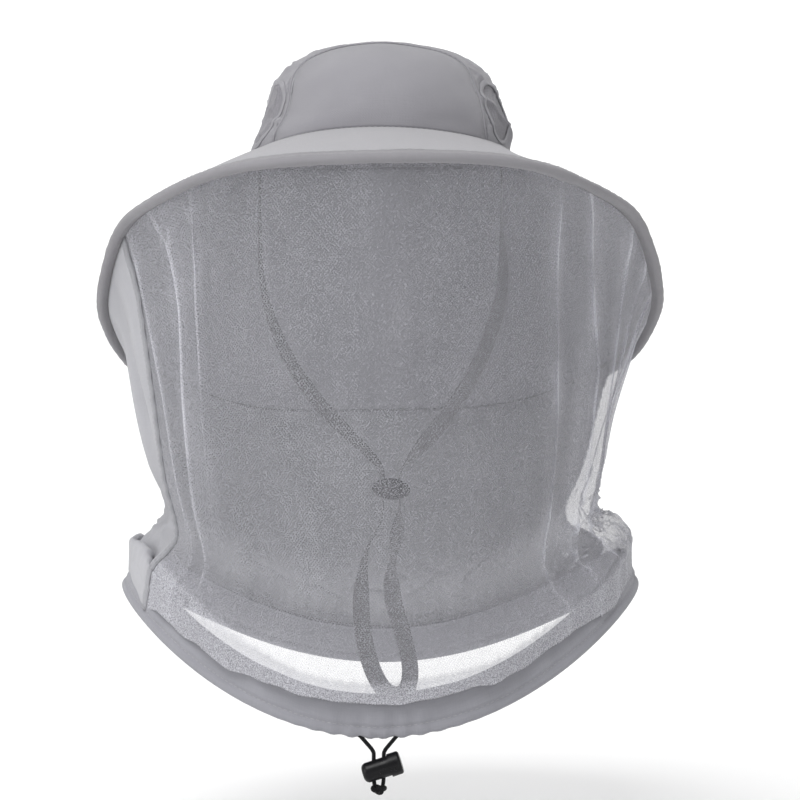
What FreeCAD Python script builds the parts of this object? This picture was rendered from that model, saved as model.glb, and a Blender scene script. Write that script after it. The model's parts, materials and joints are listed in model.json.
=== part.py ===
"""A sun-hat beekeeping veil: soft crown, wide drooping brim, net front, cloth neck cape,
drawcord hem with a cord lock, and a chin strap with a slider.

Millimetres. The origin is the centre of the head opening, in the plane where crown and brim
are sewn together. +Z is up, the face looks along -Y, and +X is the wearer's left.
"""
import FreeCAD, Part
import math
import os

V = FreeCAD.Vector

# Head opening and crown
OPENING_HALF_WIDTH = 79.7
OPENING_HALF_LENGTH = 98.0
CROWN_HEIGHT = 64.0
CROWN_FULLNESS = 2.3            # superellipse exponent of the crown's profile
CROWN_STEPS = 24                # points on the profile, less one
CROWN_CLOTH = 1.2
CROWN_FOOT = 2.7                # the crown's cut edge stands this far above the opening's plane
PANEL_GAP = 0.2
SEAM_LINE = [                   # Y and Z of the front seam, up the crown's side and over its top
    (-56.0, -6.0), (-62.0, 10.0), (-59.0, 27.0), (-51.0, 42.0), (-47.0, 56.0), (-45.0, 72.0),
]
SWEATBAND_HEIGHT = 26.0
SWEATBAND_THICKNESS = 1.5
SEAM_TAPE_WIDTH = 7.0
SEAM_TAPE_THICKNESS = 0.5

# Vents in the crown's middle strip
VENT_BACK = -38.0               # Y of a vent's centre
VENT_UP = 20.0
VENT_HALF_LENGTH = 17.0
VENT_HALF_HEIGHT = 15.0
VENT_LAP = 2.0                  # mesh hidden behind the hole's rim
VENT_MESH = 0.5
VENT_RIM_WIDTH = 2.4
VENT_RIM = 0.8

# Brim: rings are (half width, front reach, rear reach, front Z, side Z, rear Z, curve).
# A higher curve keeps the front and rear level further round before they slope to the sides.
BRIM_INNER = (79.3, 97.3, 97.3, 0.0, 0.0, 0.0, 4.4)
BRIM_EDGE = (175.0, 195.0, 175.0, -27.0, -99.0, -165.0, 4.4)
BRIM_BULGE = 3.0
BRIM_FOAM = 2.4
FOAM_START = 0.01               # the foam starts this share of the brim's width past the opening
BRIM_CLOTH = 0.7
LAYER_GAP = 0.1
BINDING_START = 0.97            # the binding lies along the brim's slope from here to the edge
BINDING_LEG = 6.0
BINDING_CLOTH = 0.7
BINDING_RADIUS = 2.6

# Veil: one ring for each level, from under the brim's edge to inside the hem casing
VEIL_LEVELS = [
    (167.0, 186.0, 167.5, -28.5, -98.5, -160.5, 4.4),
    (158.0, 178.0, 157.0, -95.0, -129.0, -190.0, 4.0),
    (149.0, 167.0, 145.0, -160.0, -160.0, -218.0, 3.4),
    (141.5, 156.0, 132.0, -220.0, -192.0, -243.0, 2.8),
    (134.0, 146.0, 121.0, -268.0, -218.0, -268.0, 2.3),
    (141.0, 139.0, 119.0, -292.0, -229.0, -286.0, 2.0),
    (154.0, 134.0, 120.0, -308.0, -237.0, -298.0, 2.0),
    (149.0, 129.0, 114.5, -316.0, -244.5, -304.5, 2.0),
    (150.0, 127.5, 114.5, -325.0, -253.5, -314.0, 2.0),
]
NET_CLOTH = 0.8
CAPE_CLOTH = 1.0
RIGHT_SEAM = -62.0              # degrees from the front, on the wearer's right (-X)
LEFT_SEAM = 115.0               # the same on the wearer's left: the veil is worn turned
SEAM_STRIP = 2.0                # degrees of the ring that a seam strip covers
SEAM_STRIP_CLOTH = 1.6
SEAM_STRIP_GAP = 0.15           # degrees

# Hem casing and drawcord
HEM_BOTTOM = (157.0, 126.0, 118.0, -342.0, -268.0, -330.0, 2.0)
HEM_TOP = (147.0, 128.0, 113.0, -318.0, -247.0, -307.0, 2.0)
HEM_HEIGHT = 24.0
HEM_CLOTH = 0.7
TUNNEL_RADIUS = 2.45            # to the middle of the casing's cloth
HEM_MOUTH = 1.25                # half the gap between the casing's two top edges
CORD_RADIUS = 1.2
CORD_STEP = 10.0                # degrees between the drawcord's points
CORD_LEAVES = 6.5               # degrees from the front where the drawcord turns out
CORD_TURNS_DOWN = 4.4           # degrees from the front where a leg leaves the tunnel
CORD_HOLE_RADIUS = 1.8

# Cord lock, knot and the drawcord's two free legs
LOCK_CENTRE = V(2.0, -127.5, -358.8)
LOCK_TILT = 18.0
LEG_X = (-2.6, 3.0)
LEG_CLOSING = 0.58              # share of the way in that a leg has come at its second bend
LEG_BEND = -345.0               # Z of the second bend
LEG_STRAIGHT = -349.5           # Z of the third bend, where a leg turns straight down
LEG_BOTTOM = -367.5
LOCK_CLEARANCE = 0.3
LOCK_RADIUS = 5.6
LOCK_LEFT = -11.2               # the closed, domed end, along the lock's axis
LOCK_RIGHT = 6.0
LOCK_DOME = 3.1                 # radius of the closed end's rounding
LOCK_BORE = 3.4
LOCK_BORE_END = -9.4
PLUNGER_STEM = 3.2
PLUNGER_LEFT = -7.5
PLUNGER_RIGHT = 11.2
PLUNGER_WALL_AT = 9.4
PLUNGER_TRAVEL = 1.6
DRUM_LEFT = 4.4
DRUM_RADIUS = 6.5
DRUM_BORE = 5.9
DRUM_ROUND = 1.6
SPRING_RADIUS = 4.5
SPRING_WIRE = 0.3
SPRING_TURNS = 1.5
SPRING_CORNERS = 8              # bends in one turn of the spring's wire
KNOT_HALF = V(5.0, 3.0, 3.2)

# Chin strap and slider
STRAP_WIDTH = 10.0
STRAP_THICKNESS = 1.0
STRAP_Y = -83.0                 # the loop hangs in this plane
CHANNEL_X = (2.0, 11.6)
RIGHT_MEET = V(CHANNEL_X[0], STRAP_Y, -208)     # inside the slider, where the strap's sweeps meet
LEFT_MEET = V(CHANNEL_X[1], STRAP_Y, -208)
STRAP_RIGHT_UP = [
    RIGHT_MEET, V(2.0, STRAP_Y, -193), V(-14, -72, -178), V(-38, -52, -155), V(-60, -31, -122),
    V(-73, -15, -84), V(-74.4, -3, -46), V(-74.4, -3, -13),
]
STRAP_LEFT_UP = [
    LEFT_MEET, V(11.6, STRAP_Y, -193), V(27, -71, -179), V(46, -54, -156), V(64, -34, -124),
    V(76, -15, -85), V(74.4, -3, -46), V(74.4, -3, -13),
]
LOOP_XZ = [                     # the hanging loop, between the slider's two channels
    (2.0, -224), (-8, -240), (-11, -265), (-9.5, -291), (-4, -311), (4, -324),
    (15, -325), (19, -311), (14, -290), (6, -264), (8.5, -240), (11.6, -224),
]
STRAP_LOOP = [RIGHT_MEET, *(V(x, STRAP_Y, z) for x, z in LOOP_XZ), LEFT_MEET]
SLIDER_CENTRE = V(6.8, STRAP_Y, -205.4)
SLIDER_SIZE = V(22.0, 13.6, 12.0)
SLIDER_TILT = 5.0
SLIDER_ROUND = 2.4
CHANNEL_CLEARANCE = 0.3
ANCHOR_X = 74.4
ANCHOR_Y = -3.0
ANCHOR_SIZE = V(1.2, 14.0, 23.0)
ANCHOR_BOTTOM = -13.0

# Every arc of a cord's path takes this share of the shorter of its two runs
ARC_SHARE = 0.45
AROUND = 360.0
REACH = 300.0                   # longer than the object is wide, for cutting blocks
SEW_TOLERANCE = 0.02


# Helpers: rings, sheets of cloth and cords

def ring_point(ring, angle):
    """A point of a ring, at an angle in degrees from the front towards +X."""
    half_width, front, rear, z_front, z_side, z_rear, curve = ring
    ahead, aside = math.cos(math.radians(angle)), math.sin(math.radians(angle))
    reach, z_end = (front, z_front) if ahead >= 0 else (rear, z_rear)
    z = z_end + (z_side - z_end) * abs(aside) ** curve
    return V(half_width * aside, -reach * ahead, z)


def level_at(levels, t):
    """The ring at t of the way down a list of rings, on a smooth curve through them."""
    place = t * (len(levels) - 1)
    i = max(0, min(int(place), len(levels) - 2))
    f = place - i
    before, first, last, after = (
        levels[max(0, min(k, len(levels) - 1))] for k in (i - 1, i, i + 1, i + 2)
    )
    return [
        0.5 * (2 * q + (r - p) * f + (2 * p - 5 * q + 4 * r - s) * f ** 2 + (3 * q - p - 3 * r + s) * f ** 3)
        for p, q, r, s in zip(before, first, last, after)
    ]


def normal_at(surface, u, v):
    """The unit normal that points up from the brim, or outwards from the veil."""
    step = 1e-3
    around = surface(u + step, v) - surface(u - step, v)
    along = surface(u, v + step) - surface(u, v - step)
    return along.cross(around).normalize()


def spread(low, high, steps):
    return [low + (high - low) * k / steps for k in range(steps + 1)]


def skin(surface, offset, us, vs):
    """A smooth face through points of a surface, moved along its normals."""
    points = [[surface(u, v) + normal_at(surface, u, v) * offset for v in vs] for u in us]
    face = Part.BSplineSurface()
    face.interpolate(points)
    return face


def borders(face):
    u0, u1, v0, v1 = face.bounds()
    return [face.uIso(u0), face.uIso(u1), face.vIso(v0), face.vIso(v1)]


def sew(faces):
    shell = Part.Compound(faces)
    shell.sewShape(SEW_TOLERANCE)
    solid = Part.makeSolid(shell.Shells[0])
    if solid.Volume < 0:
        solid.reverse()
    return solid


def sheet(surface, low, high, u_range, v_range, u_steps, v_steps, closed=False):
    """A closed solid between two offsets of a surface; a closed sheet goes all the way round."""
    u_start, u_end = u_range
    middle = (u_start + u_end) / 2
    spans = [(u_start, middle), (middle, u_end)] if closed else [u_range]
    vs = spread(*v_range, v_steps)
    faces = []
    for span in spans:
        us = spread(*span, u_steps)
        inner, outer = skin(surface, low, us, vs), skin(surface, high, us, vs)
        faces += [inner.toShape(), outer.toShape()]
        sides = list(zip(borders(inner), borders(outer)))
        for first, second in sides[2:] if closed else sides:
            faces.append(Part.makeRuledSurface(first.toShape(), second.toShape()))
    return sew(faces)


def cord_path(points, name):
    """Straight runs joined by tangent arcs, as large as the runs allow."""
    edges, start, radii = [], points[0], []
    for before, corner, after in zip(points, points[1:], points[2:]):
        back, ahead = (before - corner), (after - corner)
        reach = ARC_SHARE * min(back.Length, ahead.Length)
        back.normalize()
        ahead.normalize()
        half_turn = (math.pi - back.getAngle(ahead)) / 2
        radius = reach / math.tan(half_turn)
        radii.append(radius)
        first, last = corner + back * reach, corner + ahead * reach
        towards = (back + ahead).normalize()
        middle = corner + towards * radius * (1 / math.cos(half_turn) - 1)
        edges.append(Part.LineSegment(start, first).toShape())
        edges.append(Part.Arc(first, middle, last).toShape())
        start = last
    edges.append(Part.LineSegment(start, points[-1]).toShape())
    print(name, "arc radii", [round(r, 1) for r in radii], "length", round(sum(e.Length for e in edges), 1))
    return Part.Wire(edges)


def swept(path, section):
    return path.makePipeShell([section], True, False)


def round_section(radius, centre, direction):
    return Part.Wire(Part.makeCircle(radius, centre, direction))


def tape_section(centre):
    """The strap's section in a horizontal plane, wide along Y."""
    x, y = STRAP_THICKNESS / 2, STRAP_WIDTH / 2
    corners = [centre + V(sx * x, sy * y, 0) for sx, sy in ((-1, -1), (1, -1), (1, 1), (-1, 1), (-1, -1))]
    return Part.makePolygon(corners)


# Crown

def dome(inset):
    """The crown's solid outer shape, made smaller all round by an inset."""
    profile = []
    for a in spread(0, math.pi / 2, CROWN_STEPS):
        profile.append(V(math.cos(a) ** (2 / CROWN_FULLNESS), 0, math.sin(a) ** (2 / CROWN_FULLNESS)))
    curve = Part.BSplineCurve()
    curve.interpolate(profile)
    top = Part.LineSegment(profile[-1], V(0, 0, 0))
    foot = Part.LineSegment(V(0, 0, 0), profile[0])
    half = Part.Face(Part.Wire([curve.toShape(), top.toShape(), foot.toShape()]))
    unit = half.revolve(V(0, 0, 0), V(0, 0, 1), AROUND)
    size = FreeCAD.Matrix()
    size.scale(OPENING_HALF_WIDTH - inset, OPENING_HALF_LENGTH - inset, CROWN_HEIGHT - inset)
    return unit.transformGeometry(size)


def dome_layer(outer_inset, thickness):
    return dome(outer_inset).cut(dome(outer_inset + thickness))


def slab(z_low, z_high):
    return Part.makeBox(2 * REACH, 2 * REACH, z_high - z_low, V(-REACH, -REACH, z_low))


def seam_line(shift):
    """The front seam in the YZ plane, moved back by a shift."""
    curve = Part.BSplineCurve()
    curve.interpolate([V(0, y + shift, z) for y, z in SEAM_LINE])
    return curve.toShape()


def seam_block(line, rest):
    """A block from ear to ear whose side view is bounded by the seam line and the other edges."""
    face = Part.Face(Part.Wire(Part.__sortEdges__([line, *rest])))
    block = face.extrude(V(2 * REACH, 0, 0))
    block.translate(V(-REACH, 0, 0))
    return block


def seam_to_middle(shift):
    """The block from the front seam back to the crown's middle."""
    line = seam_line(shift)
    start, end = line.firstVertex().Point, line.lastVertex().Point
    rest = Part.makePolygon([end, V(0, 0, end.z), V(0, 0, start.z), start]).Edges
    return seam_block(line, rest)


def along_seam(width):
    """The block that follows the front seam at both sides, for the tape behind it."""
    line, other = seam_line(-width / 2), seam_line(width / 2)
    ends = zip((line.firstVertex(), line.lastVertex()), (other.firstVertex(), other.lastVertex()))
    return seam_block(line, [other, *(Part.makeLine(a.Point, b.Point) for a, b in ends)])


def mirrored(shape):
    """The same shape at the crown's rear."""
    return shape.mirror(V(0, 0, 0), V(0, 1, 0))


def both_ends(shape):
    return shape.fuse(mirrored(shape))


def oval(half_length, half_height):
    """An oval rod through both sides of the crown, at the vents."""
    ellipse = Part.Ellipse(V(0, 0, 0), half_length, half_height)
    face = Part.Face(Part.Wire(ellipse.toShape()))
    face.rotate(V(0, 0, 0), V(0, 0, 1), 90)
    face.rotate(V(0, 0, 0), V(0, 1, 0), 90)
    face.translate(V(-REACH, VENT_BACK, VENT_UP))
    return face.extrude(V(2 * REACH, 0, 0))


def one_side(shape, sign):
    block = Part.makeBox(REACH, 2 * REACH, 2 * REACH, V(0 if sign > 0 else -REACH, -REACH, -REACH))
    return shape.common(block)


def crown_parts():
    cloth = dome_layer(0, CROWN_CLOTH).common(slab(CROWN_FOOT, REACH))
    middle = cloth.common(both_ends(seam_to_middle(PANEL_GAP / 2)))
    ends = cloth.cut(both_ends(seam_to_middle(-PANEL_GAP / 2)))
    front, rear = sorted(ends.Solids, key=lambda solid: solid.CenterOfMass.y)
    parts = {
        "crown_front_panel": front,
        "crown_rear_panel": rear,
        "crown_middle_strip": middle.cut(oval(VENT_HALF_LENGTH, VENT_HALF_HEIGHT)),
    }
    behind = CROWN_CLOTH + LAYER_GAP
    tape = dome_layer(behind, SEAM_TAPE_THICKNESS).common(slab(SWEATBAND_HEIGHT + LAYER_GAP, REACH))
    strip = along_seam(SEAM_TAPE_WIDTH)
    parts["crown_seam_tape_front"] = tape.common(strip)
    parts["crown_seam_tape_rear"] = tape.common(mirrored(strip))
    mesh = dome_layer(behind, VENT_MESH).common(oval(VENT_HALF_LENGTH + VENT_LAP, VENT_HALF_HEIGHT + VENT_LAP))
    rim = dome_layer(-VENT_RIM - LAYER_GAP, VENT_RIM)
    rim = rim.common(oval(VENT_HALF_LENGTH + VENT_RIM_WIDTH, VENT_HALF_HEIGHT + VENT_RIM_WIDTH))
    rim = rim.cut(oval(VENT_HALF_LENGTH, VENT_HALF_HEIGHT))
    for side, sign in (("left", 1), ("right", -1)):
        parts[f"vent_mesh_{side}"] = one_side(mesh, sign)
        parts[f"vent_rim_{side}"] = one_side(rim, sign)
    inside = CROWN_CLOTH + VENT_MESH + 2 * LAYER_GAP
    foot = dome_layer(inside, SWEATBAND_THICKNESS).common(slab(0, SWEATBAND_HEIGHT))
    parts["sweatband"] = foot
    return parts


# Brim

def brim_point(angle, t):
    inner, outer = ring_point(BRIM_INNER, angle), ring_point(BRIM_EDGE, angle)
    return inner + (outer - inner) * t + V(0, 0, 4 * BRIM_BULGE * t * (1 - t))


def binding_point(angle, t):
    """The binding folds over the brim's edge: a leg above, a half turn, and a leg below."""
    edge = brim_point(angle, 1)
    outwards = (edge - brim_point(angle, BINDING_START)).normalize()
    up = normal_at(brim_point, angle, 1)
    half_turn = math.pi * BINDING_RADIUS
    place = t * (2 * BINDING_LEG + half_turn)
    if place < BINDING_LEG:
        return edge - outwards * (BINDING_LEG - place) + up * BINDING_RADIUS
    if place > BINDING_LEG + half_turn:
        return edge - outwards * (place - BINDING_LEG - half_turn) - up * BINDING_RADIUS
    turn = (place - BINDING_LEG) / BINDING_RADIUS
    return edge + outwards * BINDING_RADIUS * math.sin(turn) + up * BINDING_RADIUS * math.cos(turn)


def brim_parts():
    half_foam = BRIM_FOAM / 2
    near, far = half_foam + LAYER_GAP, half_foam + LAYER_GAP + BRIM_CLOTH
    ring = {"u_range": (0, AROUND), "u_steps": 18, "closed": True}
    half_cloth = BINDING_CLOTH / 2
    return {
        "brim_upper_cloth": sheet(brim_point, near, far, v_range=(0, 1), v_steps=6, **ring),
        "brim_stiffener": sheet(brim_point, -half_foam, half_foam, v_range=(FOAM_START, 1), v_steps=6, **ring),
        "brim_lower_cloth": sheet(brim_point, -far, -near, v_range=(0, 1), v_steps=6, **ring),
        "brim_edge_binding": sheet(binding_point, -half_cloth, half_cloth, v_range=(0, 1), v_steps=16, **ring),
    }


# Veil and hem

def veil_point(angle, t):
    return ring_point(level_at(VEIL_LEVELS, t), angle)


def hem_frame(angle):
    """The hem's lowest line, with the directions up the casing and out of it."""
    bottom, top = ring_point(HEM_BOTTOM, angle), ring_point(HEM_TOP, angle)
    up = (top - bottom).normalize()
    around = (ring_point(HEM_BOTTOM, angle + 0.1) - ring_point(HEM_BOTTOM, angle - 0.1)).normalize()
    return bottom, up, up.cross(around).normalize() * -1


def tunnel_centre(angle):
    bottom, up, _ = hem_frame(angle)
    return bottom + up * TUNNEL_RADIUS


def hem_point(angle, t):
    """The casing folds round the drawcord: down outside, half a turn, and up inside."""
    _, up, outwards = hem_frame(angle)
    centre = tunnel_centre(angle)
    leg = HEM_HEIGHT - TUNNEL_RADIUS
    half_turn = math.pi * TUNNEL_RADIUS
    place = t * (2 * leg + half_turn)
    if leg <= place <= leg + half_turn:
        turn = (place - leg) / TUNNEL_RADIUS
        return centre + outwards * TUNNEL_RADIUS * math.cos(turn) - up * TUNNEL_RADIUS * math.sin(turn)
    side = 1 if place < leg else -1
    climb = leg - place if side > 0 else place - leg - half_turn
    share = climb / leg
    lean = share * share * (3 - 2 * share)
    return centre + up * climb + outwards * side * (TUNNEL_RADIUS + (HEM_MOUTH - TUNNEL_RADIUS) * lean)


def veil_parts():
    half_net, half_cape, half_strip = NET_CLOTH / 2, CAPE_CLOTH / 2, SEAM_STRIP_CLOTH / 2
    half = SEAM_STRIP / 2
    down = {"v_range": (0, 1), "v_steps": 32}
    net_span = (RIGHT_SEAM + half, LEFT_SEAM - half)
    cape_span = (LEFT_SEAM + half, RIGHT_SEAM + AROUND - half)
    parts = {
        "face_net": sheet(veil_point, -half_net, half_net, net_span, u_steps=22, **down),
        "neck_cape": sheet(veil_point, -half_cape, half_cape, cape_span, u_steps=22, **down),
    }
    for side, seam in (("left", LEFT_SEAM), ("right", RIGHT_SEAM)):
        span = (seam - half + SEAM_STRIP_GAP, seam + half - SEAM_STRIP_GAP)
        parts[f"side_seam_{side}"] = sheet(veil_point, -half_strip, half_strip, span, u_steps=2, **down)
    half_hem = HEM_CLOTH / 2
    casing = sheet(hem_point, -half_hem, half_hem, (0, AROUND), (0, 1), u_steps=24, v_steps=28, closed=True)
    for side, points in drawcord_legs().items():
        path = cord_path(points, f"hole_{side}")
        casing = casing.cut(swept(path, round_section(CORD_HOLE_RADIUS, points[0], points[1] - points[0])))
    parts["hem_casing"] = casing
    return parts


# Drawcord, cord lock and knot

def drawcord_legs():
    """The two free legs' points, from the casing's tunnel down to the knot."""
    legs = {}
    for side, sign, x in (("right", -1, LEG_X[0]), ("left", 1, LEG_X[1])):
        start = tunnel_centre(sign * CORD_LEAVES)
        turn = tunnel_centre(sign * CORD_TURNS_DOWN)
        y = LOCK_CENTRE.y
        legs[side] = [
            start,
            turn,
            V(turn.x + (x - turn.x) * LEG_CLOSING, y, LEG_BEND),
            V(x, y, LEG_STRAIGHT),
            V(x, y, LEG_BOTTOM),
        ]
    return legs


def drawcord_parts():
    parts = {}
    steps = round((AROUND - 2 * CORD_LEAVES) / CORD_STEP)
    angles = spread(CORD_LEAVES, AROUND - CORD_LEAVES, steps)
    points = [tunnel_centre(a) for a in angles]
    path = cord_path(points, "hem_drawcord")
    parts["hem_drawcord"] = swept(path, round_section(CORD_RADIUS, points[0], points[1] - points[0]))
    for side, points in drawcord_legs().items():
        path = cord_path(points, f"drawcord_leg_{side}")
        section = round_section(CORD_RADIUS, points[0], points[1] - points[0])
        parts[f"drawcord_leg_{side}"] = swept(path, section)
    knot = Part.makeSphere(1)
    size = FreeCAD.Matrix()
    size.scale(KNOT_HALF)
    knot = knot.transformGeometry(size)
    knot.translate(V(sum(LEG_X) / 2, LOCK_CENTRE.y, LEG_BOTTOM - KNOT_HALF.z))
    for side in ("left", "right"):
        knot = knot.cut(parts[f"drawcord_leg_{side}"])
    parts["cord_knot"] = knot
    return parts


def along_lock(shape):
    """Turns a shape made along +X at the origin onto the lock's tilted axis."""
    shape.rotate(V(0, 0, 0), V(0, 1, 0), -LOCK_TILT)
    shape.translate(LOCK_CENTRE)
    return shape


def rod(radius, start, end):
    return Part.makeCylinder(radius, end - start, V(start, 0, 0), V(1, 0, 0))


def leg_slot(x, length):
    """A vertical slot for one leg, open towards +X by a length."""
    radius = CORD_RADIUS + LOCK_CLEARANCE
    low = V(x, LOCK_CENTRE.y, LOCK_CENTRE.z - 3 * LOCK_RADIUS)
    tall = 6 * LOCK_RADIUS
    slot = Part.makeCylinder(radius, tall, low)
    if length:
        slot = slot.fuse(Part.makeCylinder(radius, tall, low + V(length, 0, 0)))
        slot = slot.fuse(Part.makeBox(length, 2 * radius, tall, low - V(0, radius, 0)))
    return slot


def cord_lock_parts():
    shell = rod(LOCK_RADIUS, LOCK_LEFT, LOCK_RIGHT)
    ends = sorted(shell.Edges, key=lambda edge: edge.BoundBox.XMin if edge.BoundBox.XLength < 0.1 else REACH)
    shell = shell.makeFillet(LOCK_DOME, [ends[0]])
    shell = along_lock(shell.cut(rod(LOCK_BORE, LOCK_BORE_END, LOCK_RIGHT + 1)))
    drum = rod(DRUM_RADIUS, DRUM_LEFT, PLUNGER_RIGHT)
    rims = [edge for edge in drum.Edges if edge.BoundBox.XLength < 0.1]
    drum = drum.makeFillet(DRUM_ROUND, [max(rims, key=lambda edge: edge.BoundBox.XMin)])
    drum = drum.cut(rod(DRUM_BORE, DRUM_LEFT - 1, PLUNGER_WALL_AT))
    plunger = along_lock(drum.fuse(rod(PLUNGER_STEM, PLUNGER_LEFT, PLUNGER_WALL_AT + 1)).removeSplitter())
    for x in LEG_X:
        shell = shell.cut(leg_slot(x, 0))
        plunger = plunger.cut(leg_slot(x, PLUNGER_TRAVEL))
    return {"cord_lock_body": shell, "cord_lock_plunger": plunger, "cord_lock_spring": along_lock(spring())}


def spring():
    """The coil round the plunger's stem, from the body's open end to the drum's wall."""
    start, end = LOCK_RIGHT + 2 * SPRING_WIRE, PLUNGER_WALL_AT - 2 * SPRING_WIRE
    corners = round(SPRING_TURNS * SPRING_CORNERS)
    points = []
    for x, turn in zip(spread(start, end, corners), spread(0, 2 * math.pi * SPRING_TURNS, corners)):
        points.append(V(x, SPRING_RADIUS * math.cos(turn), SPRING_RADIUS * math.sin(turn)))
    path = cord_path(points, "cord_lock_spring")
    return swept(path, round_section(SPRING_WIRE, points[0], points[1] - points[0]))


# Chin strap

def strap_parts():
    right = swept(cord_path(STRAP_RIGHT_UP, "chin_strap right"), tape_section(STRAP_RIGHT_UP[0]))
    left = swept(cord_path(STRAP_LEFT_UP, "chin_strap left"), tape_section(STRAP_LEFT_UP[0]))
    loop = swept(cord_path(STRAP_LOOP, "chin_strap loop"), tape_section(STRAP_LOOP[0]))
    strap = loop.fuse([right, left]).removeSplitter()
    parts = {"chin_strap": strap}
    outline = Part.Ellipse(V(0, 0, 0), SLIDER_SIZE.x / 2, SLIDER_SIZE.z / 2)
    pill = Part.Face(Part.Wire(outline.toShape())).extrude(V(0, 0, SLIDER_SIZE.y))
    pill = pill.makeFillet(SLIDER_ROUND, pill.Edges[:1] + pill.Edges[2:])
    pill.translate(V(0, 0, -SLIDER_SIZE.y / 2))
    pill.rotate(V(0, 0, 0), V(1, 0, 0), 90)
    pill.rotate(V(0, 0, 0), V(0, 1, 0), SLIDER_TILT)
    pill.translate(SLIDER_CENTRE)
    across = STRAP_THICKNESS + 2 * CHANNEL_CLEARANCE
    deep = STRAP_WIDTH + 2 * CHANNEL_CLEARANCE
    for x in CHANNEL_X:
        corner = V(x - across / 2, STRAP_Y - deep / 2, SLIDER_CENTRE.z - SLIDER_SIZE.z)
        pill = pill.cut(Part.makeBox(across, deep, 2 * SLIDER_SIZE.z, corner))
    parts["chin_slider"] = pill
    for side, sign in (("left", 1), ("right", -1)):
        corner = V(sign * ANCHOR_X - ANCHOR_SIZE.x / 2, ANCHOR_Y - ANCHOR_SIZE.y / 2, ANCHOR_BOTTOM)
        parts[f"chin_strap_anchor_{side}"] = Part.makeBox(*ANCHOR_SIZE, corner)
    return parts


def main():
    os.makedirs("parts", exist_ok=True)
    parts = {}
    for group in (crown_parts, brim_parts, veil_parts, drawcord_parts, cord_lock_parts, strap_parts):
        parts.update(group())
    for name, shape in parts.items():
        shape.exportStep(f"parts/{name}.step")
        print(name, "valid", shape.isValid(), "solids", len(shape.Solids), "cm3", round(shape.Volume / 1000, 3))


main()
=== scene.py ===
"""The looks of a beekeeping veil: grey sun hat, net, cloth cape, drawcord hem and chin strap.

Lengths in the helpers are millimetres, and meshes are made in metres. +Z is up, the face looks
along -Y, and +X is the wearer's left. Angles go round the hat from the front, in degrees.
"""

import json
import math

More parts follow.
